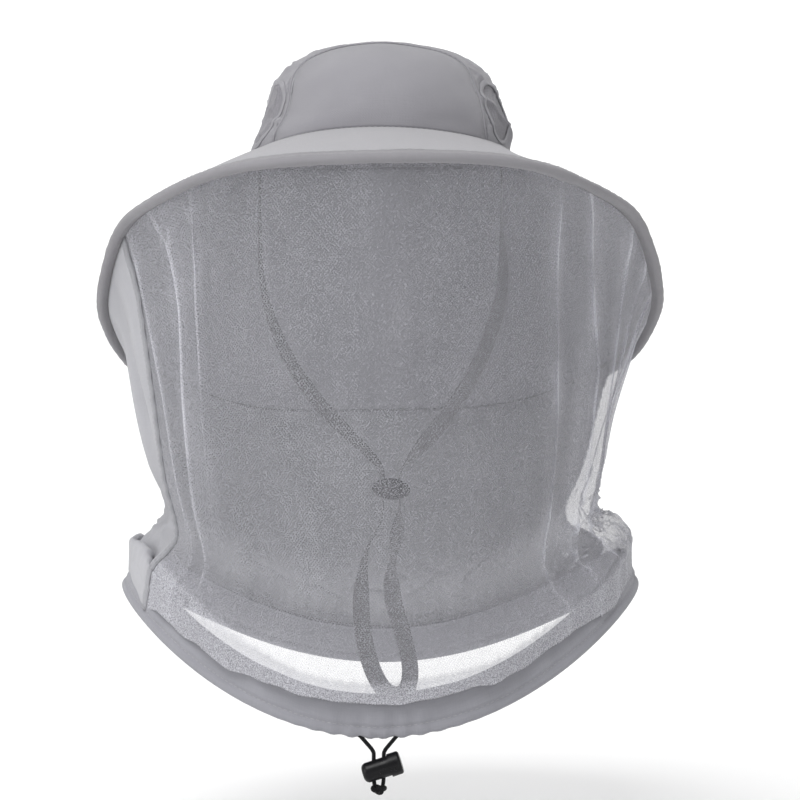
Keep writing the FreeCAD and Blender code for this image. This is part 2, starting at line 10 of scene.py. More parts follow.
import bpy
import numpy as np
from mathutils import Vector
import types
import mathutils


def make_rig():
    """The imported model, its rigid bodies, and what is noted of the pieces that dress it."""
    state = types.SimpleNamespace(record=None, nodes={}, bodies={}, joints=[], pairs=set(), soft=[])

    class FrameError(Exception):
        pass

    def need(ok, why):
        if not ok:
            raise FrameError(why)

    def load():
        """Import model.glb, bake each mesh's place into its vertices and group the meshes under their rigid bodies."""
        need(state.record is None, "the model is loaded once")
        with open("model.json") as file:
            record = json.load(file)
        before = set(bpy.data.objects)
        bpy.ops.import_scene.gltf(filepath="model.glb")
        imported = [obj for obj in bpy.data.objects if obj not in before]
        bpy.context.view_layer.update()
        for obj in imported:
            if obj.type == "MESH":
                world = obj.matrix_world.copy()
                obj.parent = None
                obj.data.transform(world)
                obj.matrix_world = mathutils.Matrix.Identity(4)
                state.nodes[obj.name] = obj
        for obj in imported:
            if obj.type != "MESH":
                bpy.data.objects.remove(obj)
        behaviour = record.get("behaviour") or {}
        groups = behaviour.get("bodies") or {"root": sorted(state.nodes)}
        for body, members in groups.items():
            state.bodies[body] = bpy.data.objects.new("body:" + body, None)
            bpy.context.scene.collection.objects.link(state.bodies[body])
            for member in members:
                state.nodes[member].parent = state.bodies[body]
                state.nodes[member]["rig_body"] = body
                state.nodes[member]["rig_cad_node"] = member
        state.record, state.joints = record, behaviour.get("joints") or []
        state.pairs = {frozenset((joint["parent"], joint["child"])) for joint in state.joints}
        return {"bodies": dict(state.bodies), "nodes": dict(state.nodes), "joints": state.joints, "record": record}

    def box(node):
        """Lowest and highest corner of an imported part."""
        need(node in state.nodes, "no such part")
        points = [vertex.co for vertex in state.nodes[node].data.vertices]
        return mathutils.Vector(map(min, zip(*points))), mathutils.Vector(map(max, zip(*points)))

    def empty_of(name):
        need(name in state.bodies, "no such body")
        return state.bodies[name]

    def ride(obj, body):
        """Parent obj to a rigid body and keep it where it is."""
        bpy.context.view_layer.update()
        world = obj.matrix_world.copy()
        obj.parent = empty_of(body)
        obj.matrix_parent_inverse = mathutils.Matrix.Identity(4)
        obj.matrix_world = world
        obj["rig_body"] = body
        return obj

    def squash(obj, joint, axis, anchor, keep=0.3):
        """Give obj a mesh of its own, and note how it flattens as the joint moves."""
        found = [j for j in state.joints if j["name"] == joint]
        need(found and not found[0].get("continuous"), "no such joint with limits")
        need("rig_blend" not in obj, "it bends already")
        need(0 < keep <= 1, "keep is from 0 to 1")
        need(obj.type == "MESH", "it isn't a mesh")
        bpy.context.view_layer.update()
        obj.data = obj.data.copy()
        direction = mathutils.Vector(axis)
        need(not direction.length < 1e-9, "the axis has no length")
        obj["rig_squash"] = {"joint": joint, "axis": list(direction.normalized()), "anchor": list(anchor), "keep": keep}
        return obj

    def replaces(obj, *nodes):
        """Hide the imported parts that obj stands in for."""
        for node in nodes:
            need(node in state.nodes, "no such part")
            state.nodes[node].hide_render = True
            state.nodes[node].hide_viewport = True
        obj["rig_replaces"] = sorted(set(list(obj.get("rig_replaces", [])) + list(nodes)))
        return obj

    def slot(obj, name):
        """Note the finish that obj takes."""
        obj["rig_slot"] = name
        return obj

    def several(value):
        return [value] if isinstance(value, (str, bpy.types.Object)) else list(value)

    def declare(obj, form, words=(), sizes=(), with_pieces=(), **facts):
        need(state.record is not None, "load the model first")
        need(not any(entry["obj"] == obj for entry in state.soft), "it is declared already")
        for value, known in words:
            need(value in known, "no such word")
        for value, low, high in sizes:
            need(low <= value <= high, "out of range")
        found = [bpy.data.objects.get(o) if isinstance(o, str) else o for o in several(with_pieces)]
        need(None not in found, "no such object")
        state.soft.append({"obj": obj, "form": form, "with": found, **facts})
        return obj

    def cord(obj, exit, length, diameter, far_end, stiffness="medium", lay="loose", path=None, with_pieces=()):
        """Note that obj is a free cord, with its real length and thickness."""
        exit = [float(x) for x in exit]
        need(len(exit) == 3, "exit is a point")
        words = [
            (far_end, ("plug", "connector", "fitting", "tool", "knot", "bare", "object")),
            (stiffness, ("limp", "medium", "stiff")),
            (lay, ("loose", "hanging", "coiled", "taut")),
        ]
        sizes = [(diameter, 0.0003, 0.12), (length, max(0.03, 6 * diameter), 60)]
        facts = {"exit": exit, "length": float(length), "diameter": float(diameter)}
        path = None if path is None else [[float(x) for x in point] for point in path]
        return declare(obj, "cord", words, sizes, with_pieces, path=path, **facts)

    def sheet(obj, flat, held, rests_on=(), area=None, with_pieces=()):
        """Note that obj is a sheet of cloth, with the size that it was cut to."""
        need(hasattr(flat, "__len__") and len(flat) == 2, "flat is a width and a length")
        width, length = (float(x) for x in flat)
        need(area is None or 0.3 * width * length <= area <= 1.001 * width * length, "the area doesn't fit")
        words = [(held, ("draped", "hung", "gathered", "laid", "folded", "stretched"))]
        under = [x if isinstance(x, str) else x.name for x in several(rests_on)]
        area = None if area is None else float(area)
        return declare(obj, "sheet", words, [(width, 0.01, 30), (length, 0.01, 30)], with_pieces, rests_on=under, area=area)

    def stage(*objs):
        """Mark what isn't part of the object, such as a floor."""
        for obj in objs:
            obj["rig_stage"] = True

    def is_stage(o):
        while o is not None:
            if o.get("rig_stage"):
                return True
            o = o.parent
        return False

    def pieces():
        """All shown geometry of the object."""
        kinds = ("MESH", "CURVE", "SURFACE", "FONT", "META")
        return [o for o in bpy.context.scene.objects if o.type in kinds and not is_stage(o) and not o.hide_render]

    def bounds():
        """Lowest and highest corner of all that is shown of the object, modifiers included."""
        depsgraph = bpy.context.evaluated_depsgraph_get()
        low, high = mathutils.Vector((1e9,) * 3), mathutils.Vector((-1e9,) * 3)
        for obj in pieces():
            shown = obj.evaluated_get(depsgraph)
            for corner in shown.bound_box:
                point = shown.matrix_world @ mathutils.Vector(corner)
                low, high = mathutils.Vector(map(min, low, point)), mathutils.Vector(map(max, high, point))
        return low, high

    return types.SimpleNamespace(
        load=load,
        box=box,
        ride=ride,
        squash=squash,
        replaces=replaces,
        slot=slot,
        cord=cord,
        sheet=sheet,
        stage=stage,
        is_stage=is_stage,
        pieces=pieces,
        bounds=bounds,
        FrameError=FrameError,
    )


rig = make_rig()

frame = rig.load()
cad_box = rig.bounds()
nodes = frame["nodes"]
MM = 0.001

# ---- sizes shared with the CAD model
OPENING_HALF_WIDTH, OPENING_HALF_LENGTH, CROWN_HEIGHT, CROWN_FULLNESS = 79.7, 98, 64, 2.3
SEAM_YZ = [(-56, -6), (-62, 10), (-59, 27), (-51, 42), (-47, 56), (-45, 72)]
VENT_BACK, VENT_UP, VENT_HALF_LENGTH, VENT_HALF_HEIGHT = -38, 20, 17, 15
SWEATBAND_LOW, SWEATBAND_TOP, SWEATBAND_IN = 0.4, 25.6, 2.6

# A ring's half width, its reach in front and behind, its z in front, aside and behind, and how
# sharply it bends.
BRIM_INNER = (79.3, 97.3, 97.3, 0, 0, 0, 4.4)
BRIM_EDGE = (175, 195, 175, -27, -99, -165, 4.4)
HEM_BOTTOM = (157, 126, 118, -342, -268, -330, 2)
HEM_TOP = (147, 128, 113, -318, -247, -307, 2)
VEIL_LEVELS = np.array([
    (167, 186, 167.5, -28.5, -98.5, -160.5, 4.4),
    (158, 178, 157, -95, -129, -190, 4),
    (149, 167, 145, -160, -160, -218, 3.4),
    (141.5, 156, 132, -220, -192, -243, 2.8),
    (134, 146, 121, -268, -218, -268, 2.3),
    (141, 139, 119, -292, -229, -286, 2),
    (154, 134, 120, -308, -237, -298, 2),
    (149, 129, 114.5, -316, -244.5, -304.5, 2),
    (150, 127.5, 114.5, -325, -253.5, -314, 2),
])
BRIM_BULGE = 3
BRIM_OFFSET = 1.65              # from the brim's middle to the middle of each cloth
BINDING_LEG, BINDING_RADIUS = 6, 2.6
RIGHT_SEAM, LEFT_SEAM = -62, 115
HEM_HEIGHT, TUNNEL_RADIUS, HEM_MOUTH = 24, 2.45, 1.25
CORD_RADIUS, CORD_LEAVES, CORD_TURNS_DOWN = 1.2, 6.5, 4.4
LEG_X, LEG_CLOSING, LEG_BEND, LEG_STRAIGHT, LEG_BOTTOM = (-2.6, 3), 0.58, -345, -349.5, -367.5
LOCK_CENTRE, LOCK_TILT = (2, -127.5, -358.8), 18
SPRING_START, SPRING_END, SPRING_RADIUS, SPRING_WIRE, SPRING_TURNS = 6.6, 8.8, 4.35, 0.3, 1.5
PRESS = 1.6                     # how far the lock's plunger is pressed in
STRAP_WIDTH, STRAP_THICKNESS = 10, 1
STRAP_ROUTE = [
    (-74.4, -3, -13), (-74.4, -3, -46), (-73, -15, -84), (-60, -31, -122), (-38, -52, -155),
    (-14, -72, -178), (2, -83, -193), (2, -83, -208), (2, -83, -224), (-8, -83, -240),
    (-11, -83, -265), (-9.5, -83, -291), (-4, -83, -311), (4, -83, -324), (15, -83, -325),
    (19, -83, -311), (14, -83, -290), (6, -83, -264), (8.5, -83, -240), (11.6, -83, -224),
    (11.6, -83, -208), (11.6, -83, -193), (27, -71, -179), (46, -54, -156), (64, -34, -124),
    (76, -15, -85), (74.4, -3, -46), (74.4, -3, -13),
]

# ---- how the worn hat looks
# Rows of bumps are a height in millimetres, then a centre and a width in each direction.
BRIM_SWAY = 3.2                 # the brim stands this much higher on the wearer's left, lower right
BRIM_NARROWER = 4.8             # the weight of the veil draws each side of the brim in this much
BRIM_SAG = 7                  # and lets the brim sag this much at its sides
BRIM_ROLL = [(12, 62, 13.5), (3.5, 82, 8), (-15, 107, 17)]          # over the angle
VEIL_FOLLOWS = 0.92             # the veil's top follows that much of the brim's worn shape
VEIL_OUT, VEIL_UP = 4.5, 1.4    # it is drawn this much towards the brim's edge, and closer to it
OPENING_DIP, OPENING_SWAY = 5.7, 1.4    # how low its sides hang, and how they differ
CROWN_RIGHT = [(4.6, 22, 14), (-3.8, 57, 9)]            # settled inwards, over the height
CROWN_LEFT = [(1, 15, 12), (6, 56, 17)]
# over the angle and the share of the way down:
VEIL_DENTS = [(-7, 122, 17, 0.47, 0.12), (-5.5, -72, 22, 0.755, 0.055)]
VEIL_RAISED = [(6, 95, 24, 0.66, 0.08)]
NET_DENTS = [(-6.5, 84, 24, 0.30, 0.15)]
CAPE_DENTS = [(-3, 285, 25, 0.42, 0.18), (-8, 282, 26, 0.70, 0.07),
              (-4, 280, 26, 0.55, 0.07), (-5, 285.5, 1.6, 0.24, 0.10)]
# The net's pleats: the half width in mm, then depths (shares of the way down the veil), and the
# pleat's angle and how much of it stands out at those depths.
PLEATS = [
    (2.8, (0, 0.10, 0.23, 0.42, 0.60), (-60.2, -59.6, -55, -52.6, -52),
     (0.6, 1, 1, 0.9, 0.2)),
    (2.8, (0, 0.06, 0.12, 0.23, 0.42, 0.70), (-51.5, -46.5, -45.6, -47.2, -47.5, -46),
     (1, 1, 1, 1, 0.8, 0.1)),
    (2.6, (0, 0.06, 0.12, 0.26, 0.45), (-37.5, -39, -40.8, -42, -41),
     (0.8, 1, 1, 0.6, 0)),
    (1.6, (0, 0.04, 0.08), (-31, -32.5, -33.5), (0.5, 0.3, 0)),
    (2.8, (0, 0.05, 0.13, 0.26, 0.45, 0.6), (37, 38, 39.6, 43, 44, 45),
     (0.2, 0.9, 1, 1, 0.8, 0.3)),
    (2.8, (0, 0.05, 0.11, 0.20, 0.36, 0.5), (44.5, 47, 51.5, 57.5, 58, 56),
     (0.8, 1, 1, 1, 0.9, 0.5)),
    (3, (0, 0.07, 0.18, 0.32, 0.5), (61, 63.4, 65, 67, 66), (1, 1, 1, 0.9, 0.5)),
    (3, (0, 0.08, 0.20, 0.40, 0.6), (70.5, 72.5, 74, 76, 74), (1, 0.9, 0.9, 0.8, 0.4)),
    (3.4, (0, 0.10, 0.25, 0.45, 0.65), (80.5, 82, 84, 86, 84), (1, 0.8, 0.9, 0.9, 0.5)),
    (3.4, (0, 0.12, 0.30, 0.50), (92, 93, 96, 97), (0.9, 0.8, 0.7, 0.4)),
    (3.4, (0, 0.15, 0.35, 0.55), (103, 104, 105.5, 105), (0.9, 0.7, 0.6, 0.2)),
]
VEIL_RADIUS = 155               # turns a pleat's millimetres into degrees
# How far the strap is turned about its own line, in degrees, at shares of its length.
STRAP_TWIST = [
    (0, 0), (0.08, 10), (0.16, 45), (0.24, 60), (0.305, 25), (0.335, 0), (0.36, 0), (0.385, 15),
    (0.42, 75), (0.48, 80), (0.54, 70), (0.60, 85), (0.62, 10), (0.645, 60), (0.665, 0), (0.70, 0),
    (0.715, -45), (0.737, -70), (0.85, -68), (0.91, -45), (0.96, -8), (1, 0),
]
SHELL, SEWN, THIN = 0.9, 0.6, 0.4       # thicknesses of the hat's cloths


# ---- small maths

def unit(v):
    return v / np.maximum(np.linalg.norm(v, axis=-1, keepdims=True), 1e-9)


def smooth(x, low, high):
    """0 below low, 1 above high, and a soft step between."""
    s = np.clip((x - low) / (high - low), 0, 1)
    return s * s * (3 - 2 * s)


def fall(x, low, high):
    """1 below low and 0 above high."""
    return 1 - smooth(x, low, high)


def bell(x, centre, width):
    return np.exp(-((x - centre) / width) ** 2)


def bumps(rows, *places):
    """The sum of some bells: a row is a height, then a centre and a width for each place."""
    total = 0
    for height, *spans in rows:
        for place, centre, width in zip(places, spans[::2], spans[1::2]):
            height = height * bell(place, centre, width)
        total += height
    return total


def waves(p, size, seed, count=12):
    """Smooth seeded noise of about -1 to 1, with features of that size."""
    rng = np.random.default_rng(seed)
    total = 0
    for _ in range(count):
        direction = unit(rng.normal(size=p.shape[-1]))
        turns = p @ direction * rng.uniform(0.6, 1.5) * 2 * np.pi / size
        total += np.sin(turns + rng.uniform(0, 2 * np.pi))
    return total / math.sqrt(count)


def crumples(p, size, seed):
    """Sharp little ridges, as in crushed thin cloth, from 0 to 1."""
    first, second = waves(p, size, seed), waves(p, size * 0.7, seed + 1)
    return bell(first, 0, 0.22) * 0.6 + bell(second, 0, 0.25) * 0.4


def lattice(first, second):
    return np.meshgrid(first, second, indexing="ij")


def looped(points, row):
    """One row of a closed grid, with its first point again at the end."""
    return np.concatenate([points[:, row], points[:1, row]])


def softened(values, count):
    """Values along a line, averaged over that many neighbours."""
    kernel = np.hanning(count) / np.hanning(count).sum()
    return np.convolve(np.pad(values, count // 2, mode="edge"), kernel, mode="valid")


def lengths(line):
    """Distances along a line of points, from its start."""
    return np.concatenate([[0], np.cumsum(np.linalg.norm(np.diff(line, axis=0), axis=1))])


def lengths_along(points, axis):
    """Distance from the grid's first line, averaged over the grid."""
    steps = np.linalg.norm(np.diff(points, axis=axis), axis=-1).mean(axis=1 - axis)
    return np.concatenate([[0], np.cumsum(steps)])


def grid_normals(points, closed=False):
    if closed:
        around = np.roll(points, -1, 0) - np.roll(points, 1, 0)
    else:
        around = np.gradient(points, axis=0)
    return unit(np.cross(np.gradient(points, axis=1), around))


# ---- shapes shared with the CAD model

def ring_point(ring, angle):
    half_width, front, rear, z_front, z_side, z_rear, curve = ring
    a = np.radians(angle)
    ahead, aside = np.cos(a), np.sin(a)
    reach = np.where(ahead >= 0, front, rear)
    z_end = np.where(ahead >= 0, z_front, z_rear)
    z = z_end + (z_side - z_end) * np.abs(aside) ** curve
    return np.stack([half_width * aside, -reach * ahead, z], -1)


def from_front(angle):
    """The angle between -180 and 180."""
    return (np.asarray(angle) + 180) % 360 - 180


def worn(angle):
    """How the worn brim's edge differs from the even shape: a steeper S at each side."""
    aside = np.sin(np.radians(angle))
    roll = bumps(BRIM_ROLL, np.abs(from_front(angle)))
    return np.stack([-BRIM_NARROWER * aside, 0 * aside, BRIM_SWAY * aside + roll], -1)


def dip(aside):
    """How far the head opening hangs down; aside is the sine of the angle from the front."""
    drop = (OPENING_DIP - OPENING_SWAY * aside) * aside ** 2
    return np.array([0, 0, -1]) * drop[..., None]


def veil_point(angle, t):
    """The veil's rest surface at an angle and a share of the way down."""
    place = np.clip(t, 0, 1) * (len(VEIL_LEVELS) - 1)
    i = np.clip(place.astype(int), 0, len(VEIL_LEVELS) - 2)
    f = (place - i)[..., None]
    p, q, r, s = (VEIL_LEVELS[np.clip(i + k, 0, len(VEIL_LEVELS) - 1)] for k in (-1, 0, 1, 2))
    level = 0.5 * (2 * q + (r - p) * f + (2 * p - 5 * q + 4 * r - s) * f ** 2
                   + (3 * q - p - 3 * r + s) * f ** 3)
    hanging = ring_point(tuple(level[..., k] for k in range(7)), angle)
    reach = unit(ring_point(BRIM_EDGE, angle) - ring_point(BRIM_INNER, angle))
    closer = np.array([0, 0, VEIL_UP]) / np.linalg.norm(reach[..., :2], axis=-1, keepdims=True)
    top = (reach * VEIL_OUT + closer) * fall(t, 0, 0.1)[..., None]
    return hanging + top + VEIL_FOLLOWS * worn(angle) * fall(t, 0, 0.4)[..., None]


def brim_point(angle, t):
    """The brim's middle surface: t is 0 at the head opening and 1 at the edge."""
    inner, outer = ring_point(BRIM_INNER, angle), ring_point(BRIM_EDGE, angle)
    t = np.asarray(t)[..., None]
    aside = np.sin(np.radians(angle))
    bulge = np.array([0, 0, 4]) * (BRIM_BULGE - BRIM_SAG * aside ** 2)[..., None]
    flat = inner + (outer - inner) * t + bulge * t * (1 - t)
    return flat + worn(angle) * t + dip(aside) * (1 - t) ** 2


def hem_frame(angle):
    """The middle of the drawcord's tunnel, and the hem's directions up and out."""
    bottom, top = ring_point(HEM_BOTTOM, angle), ring_point(HEM_TOP, angle)
    up = unit(top - bottom)
    around = unit(ring_point(HEM_BOTTOM, angle + 0.1) - ring_point(HEM_BOTTOM, angle - 0.1))
    return bottom + up * TUNNEL_RADIUS, up, -unit(np.cross(up, around))


def tunnel_centre(angle):
    return hem_frame(np.asarray(float(angle)))[0]


def ovalness(x, y):
    """How far out a place is, seen from above: 1 is on the head opening's line."""
    return np.sqrt((x / OPENING_HALF_WIDTH) ** 2 + (y / OPENING_HALF_LENGTH) ** 2)


def dome_size(x, y, z):
    """How far out a place is: 1 is on the crown's surface."""
    height = np.abs(z) / CROWN_HEIGHT
    return (ovalness(x, y) ** CROWN_FULLNESS + height ** CROWN_FULLNESS) ** (1 / CROWN_FULLNESS)


def dome_width(z):
    """The crown's size at a height, as a share of the head opening."""
    return np.clip(1 - np.abs(z / CROWN_HEIGHT) ** CROWN_FULLNESS, 0, 1) ** (1 / CROWN_FULLNESS)


def dome_point(angle, rise):
    """The crown's surface: rise is 0 at the foot and 1 at the top."""
    a = np.radians(angle)
    r = np.cos(rise * np.pi / 2) ** (2 / CROWN_FULLNESS)
    z = np.sin(rise * np.pi / 2) ** (2 / CROWN_FULLNESS)
    x, y = OPENING_HALF_WIDTH * r * np.sin(a), -OPENING_HALF_LENGTH * r * np.cos(a)
    return np.stack([x, y, CROWN_HEIGHT * z + 0 * a], -1)


def on_dome(y, z, sign, lift):
    """Points on one side of the crown, raised by lift."""
    across = np.clip(dome_width(z) ** 2 - (y / OPENING_HALF_LENGTH) ** 2, 0, 1)
    points = np.stack([sign * OPENING_HALF_WIDTH * np.sqrt(across), y, z], -1)
    return points + outward(points) * lift


def outward(points):
    """The crown's outward direction at points on it."""
    r = np.maximum(ovalness(points[..., 0], points[..., 1]), 1e-6)[..., None]
    scale = np.array([1 / OPENING_HALF_WIDTH ** 2, 1 / OPENING_HALF_LENGTH ** 2, 0])
    rise = (np.abs(points[..., 2:]) / CROWN_HEIGHT) ** (CROWN_FULLNESS - 1) / CROWN_HEIGHT
    return unit(points * scale * r ** (CROWN_FULLNESS - 2) + [0, 0, 1] * rise)


def seam_y(z):
    """Y of the crown's front seam at a height, a smooth line through the seam's points."""
    ys, zs = zip(*SEAM_YZ)
    return np.polyval(np.polyfit(zs, ys, 4), z)


def settle(points):
    """The worn crown: drawn in at the wearer's right, squarer at the top, dipped at the sides."""
    x, z = points[..., 0], points[..., 2]
    shift = np.where(x < 0, bumps(CROWN_RIGHT, z), bumps(CROWN_LEFT, z))
    shift = shift * smooth(np.abs(x), 8, 44) * smooth(z, 4, 14)
    aside = x / OPENING_HALF_WIDTH / np.maximum(ovalness(x, points[..., 1]), 0.1)
    lower = dip(aside) * fall(z, 0, 40)[..., None]
    return points + shift[..., None] * [1, 0, 0] + lower


# ---- meshes

def mesh_object(name, verts, faces, uvs=None):
    """A mesh that is smooth apart from a tube's end caps; uvs has a place for each face corner."""
    mesh = bpy.data.meshes.new(name)
    mesh.from_pydata((np.asarray(verts) * MM).tolist(), [], faces)
    mesh.polygons.foreach_set("use_smooth", [len(face) <= 4 for face in faces])
    if uvs is not None:
        layer = mesh.uv_layers.new(name="cloth")
        layer.data.foreach_set("uv", (np.asarray(uvs) * MM).astype(np.float32).ravel())
    mesh.update()
    obj = bpy.data.objects.new(name, mesh)
    bpy.context.scene.collection.objects.link(obj)
    return obj


def quads(shape, u, v, keep=None):
    """The faces between a grid's lines and their UVs; u and v hold the lines' places."""
    i, j = (k.ravel() for k in lattice(np.arange(len(u) - 1), np.arange(len(v) - 1)))
    if keep is not None:
        i, j = i[keep[i, j]], j[keep[i, j]]
    corners = [(i, j), (i, j + 1), (i + 1, j + 1), (i + 1, j)]
    faces = np.stack([(a % shape[0]) * shape[1] + b % shape[1] for a, b in corners], 1).tolist()
    return faces, np.stack([np.stack([u[a], v[b]], -1) for a, b in corners], 1).reshape(-1, 2)


def grid_object(name, points, closed=False, keep=None):
    """A sheet through a grid of points; a closed one joins its last line to its first."""
    across = np.concatenate([points, points[:1]]) if closed else points
    faces, uvs = quads(points.shape, lengths_along(across, 0), lengths_along(points, 1), keep)
    return mesh_object(name, points.reshape(-1, 3), faces, uvs)


# a stitch's corners: its start, two rings of three, and its end
STITCH_FACES = [(0, 2, 1), (0, 3, 2), (1, 2, 5), (1, 5, 4), (2, 3, 6), (2, 6, 5), (4, 5, 7),
                (5, 6, 7)]


def stitches(name, path, normals, length=2.3, gap=1, radius=0.22, lift=0.12):
    """Short raised threads along a line of points."""
    place = lengths(path)

    def at(line, where):
        return np.array([np.interp(where, place, line[:, k]) for k in range(3)])

    verts, faces = [], []
    for start in np.arange(gap / 2, place[-1] - length, length + gap):
        a, b, n = at(path, start), at(path, start + length), unit(at(normals, start))
        along = unit(b - a)
        side, top = np.cross(along, n) * radius, n * radius
        middle, quarter = (a + b) / 2 + n * lift, along * length * 0.3
        base = len(verts)
        rings = [middle + end + edge for end in (-quarter, quarter) for edge in (side, top, -side)]
        verts += [a, *rings, b]
        faces += [[base + k for k in face] for face in STITCH_FACES]
    return mesh_object(name, verts, faces)


def swept_tube(name, path, radius, sides=14, flat=None, directions=None):
    """A closed tube along points; flat and directions make it a tape of that size."""
    along = unit(np.gradient(path, axis=0))
    if directions is None:
        wide = unit(np.cross(along[0], [0.3, 0.9, 0.1]))
        directions = []
        for step in along:
            wide = unit(wide - step * (wide @ step))
            directions.append(wide)
    directions = np.asarray(directions)
    directions = unit(directions - along * np.sum(directions * along, 1, keepdims=True))
    others = np.cross(along, directions)
    turns = np.linspace(0, 2 * np.pi, sides, endpoint=False)
    across, deep = radius * np.cos(turns), radius * np.sin(turns)
    if flat is not None:
        across = np.sign(np.cos(turns)) * np.abs(np.cos(turns)) ** 0.45 * flat[0] / 2
        deep = np.sign(np.sin(turns)) * np.abs(np.sin(turns)) ** 0.8 * flat[1] / 2
    points = np.array([
        centre + np.outer(across, wide) + np.outer(deep, other)
        for centre, wide, other in zip(path, directions, others)
    ])
    n, m = points.shape[:2]
    girth = lengths(np.concatenate([points[0], points[0][:1]]))
    faces, uvs = quads((n, m), lengths_along(points, 0), girth)
    faces += [list(range(m - 1, -1, -1)), list(range((n - 1) * m, n * m))]
    uvs = np.concatenate([uvs[:, ::-1], np.zeros((2 * m, 2))])
    return mesh_object(name, points.reshape(-1, 3), faces, uvs)


def route_line(points, resolution=14):
    """The smooth line that has the route's points as its NURBS control points."""
    curve = bpy.data.curves.new("route", "CURVE")
    curve.dimensions = "3D"
    spline = curve.splines.new("NURBS")
    spline.points.add(len(points) - 1)
    for point, place in zip(spline.points, points):
        point.co = (*[c * MM for c in place], 1)
    spline.order_u = 3
    spline.use_endpoint_u = True
    spline.resolution_u = resolution
    holder = bpy.data.objects.new("route", curve)
    bpy.context.scene.collection.objects.link(holder)
    bpy.context.view_layer.update()
    mesh = bpy.data.meshes.new_from_object(holder)
    line = np.array([v.co for v in mesh.vertices]) / MM
    bpy.data.objects.remove(holder)
    bpy.data.curves.remove(curve)
    bpy.data.meshes.remove(mesh)
    return line


# ---- materials

class Shader:
    """A node tree that is built by plain calls."""

    def __init__(self, name):
        self.material = bpy.data.materials.new(name)
        self.material.use_nodes = True
        self.tree = self.material.node_tree
        self.tree.nodes.clear()
        self.output = self.tree.nodes.new("ShaderNodeOutputMaterial")

    def add(self, kind, inputs=(), out=0, **settings):
        node = self.tree.nodes.new(kind)
        for key, value in settings.items():
            setattr(node, key, value)
        for key, value in dict(inputs).items():
            if isinstance(value, bpy.types.NodeSocket):
                self.tree.links.new(value, node.inputs[key])
            else:
                node.inputs[key].default_value = value
        return node.outputs[out]

    def math(self, operation, a, b=0):
        return self.add("ShaderNodeMath", {0: a, 1: b}, operation=operation)

    def plus(self, a, b):
        return self.math("ADD", a, b)

    def times(self, a, b):
        return self.math("MULTIPLY", a, b)

    def ripple(self, value, pitch, shape="SINE"):
        """A wave over a length, with a pitch in millimetres."""
        return self.math(shape, self.times(value, 2 * math.pi / (pitch * MM)))

    def remap(self, value, low, high, to_low=0, to_high=1):
        return self.add("ShaderNodeMapRange", {0: value, 1: low, 2: high, 3: to_low, 4: to_high})

    def mix(self, factor, first, second):
        return self.add("ShaderNodeMix", {0: factor, 6: first, 7: second}, out=2, data_type="RGBA")

    def noise(self, vector, scale, detail=2, roughness=0.5):
        return self.add("ShaderNodeTexNoise", {
            "Vector": vector, "Scale": scale, "Detail": detail, "Roughness": roughness,
        })

    def streaks(self, cloth, wide, long, roughness=0.6):
        """Noise over the cloth, with features of that width and length in millimetres."""
        scale = (1 / (wide * MM), 1 / (long * MM), 1)
        stretched = self.add("ShaderNodeMapping", {"Vector": cloth, "Scale": scale})
        return self.noise(stretched, 1, 3, roughness)

    def place(self):
        return self.add("ShaderNodeTexCoord", out=3)

    def cloth(self):
        """The cloth's own coordinates, and its two directions."""
        cloth = self.add("ShaderNodeUVMap", uv_map="cloth")
        split = self.tree.nodes.new("ShaderNodeSeparateXYZ")
        self.tree.links.new(cloth, split.inputs[0])
        return cloth, split.outputs[0], split.outputs[1]

    def bump(self, height, distance, strength=1, normal=None):
        inputs = {"Height": height, "Distance": distance, "Strength": strength}
        if normal is not None:
            inputs["Normal"] = normal
        return self.add("ShaderNodeBump", inputs)

    def finish(self, colour, roughness, normal, **more):
        """The material; more of the shader's inputs are written with _ for their spaces."""
        inputs = {"Base Color": colour, "Roughness": roughness, "Normal": normal}
        inputs.update((key.replace("_", " "), value) for key, value in more.items())
        shader = self.add("ShaderNodeBsdfPrincipled", inputs)
        self.tree.links.new(shader, self.output.inputs[0])
        return self.material


def rgba(colour, factor=1):
    return (*[min(1, c * factor) for c in colour], 1)


def woven(name, colour, pitch=0.75, bump=0.00012, rough=0.82, sheen=0.25, mottle=0.10,
          wrinkle=0.0003, wrinkle_size=7):
    """Plain-woven cloth with slubs, soft mottling and small wrinkles."""
    s = Shader(name)
    cloth, u, v = s.cloth()
    place = s.place()
    weave = s.times(s.ripple(u, pitch), s.ripple(v, pitch))
    slubs = s.plus(s.streaks(cloth, 0.5, 9), s.streaks(cloth, 9, 0.5))
    soft = s.noise(place, 22, 3)
    shade = s.plus(s.remap(slubs, 0.7, 1.3, 0, 0.55), s.remap(soft, 0.3, 0.7, 0, 0.35))
    shade = s.plus(shade, s.remap(weave, -1, 1, -0.05, 0.15))
    small = s.noise(place, 1 / (wrinkle_size * MM), 3, 0.55)
    height = s.plus(weave, s.times(slubs, 1.2))
    return s.finish(
        s.mix(shade, rgba(colour, 1 - mottle), rgba(colour, 1 + mottle)),
        s.remap(slubs, 0.7, 1.3, rough - 0.06, rough + 0.08),
        s.bump(height, bump, 0.8, s.bump(small, wrinkle, 0.5)),
        Sheen_Weight=sheen, Sheen_Roughness=0.4, Specular_IOR_Level=0.3)


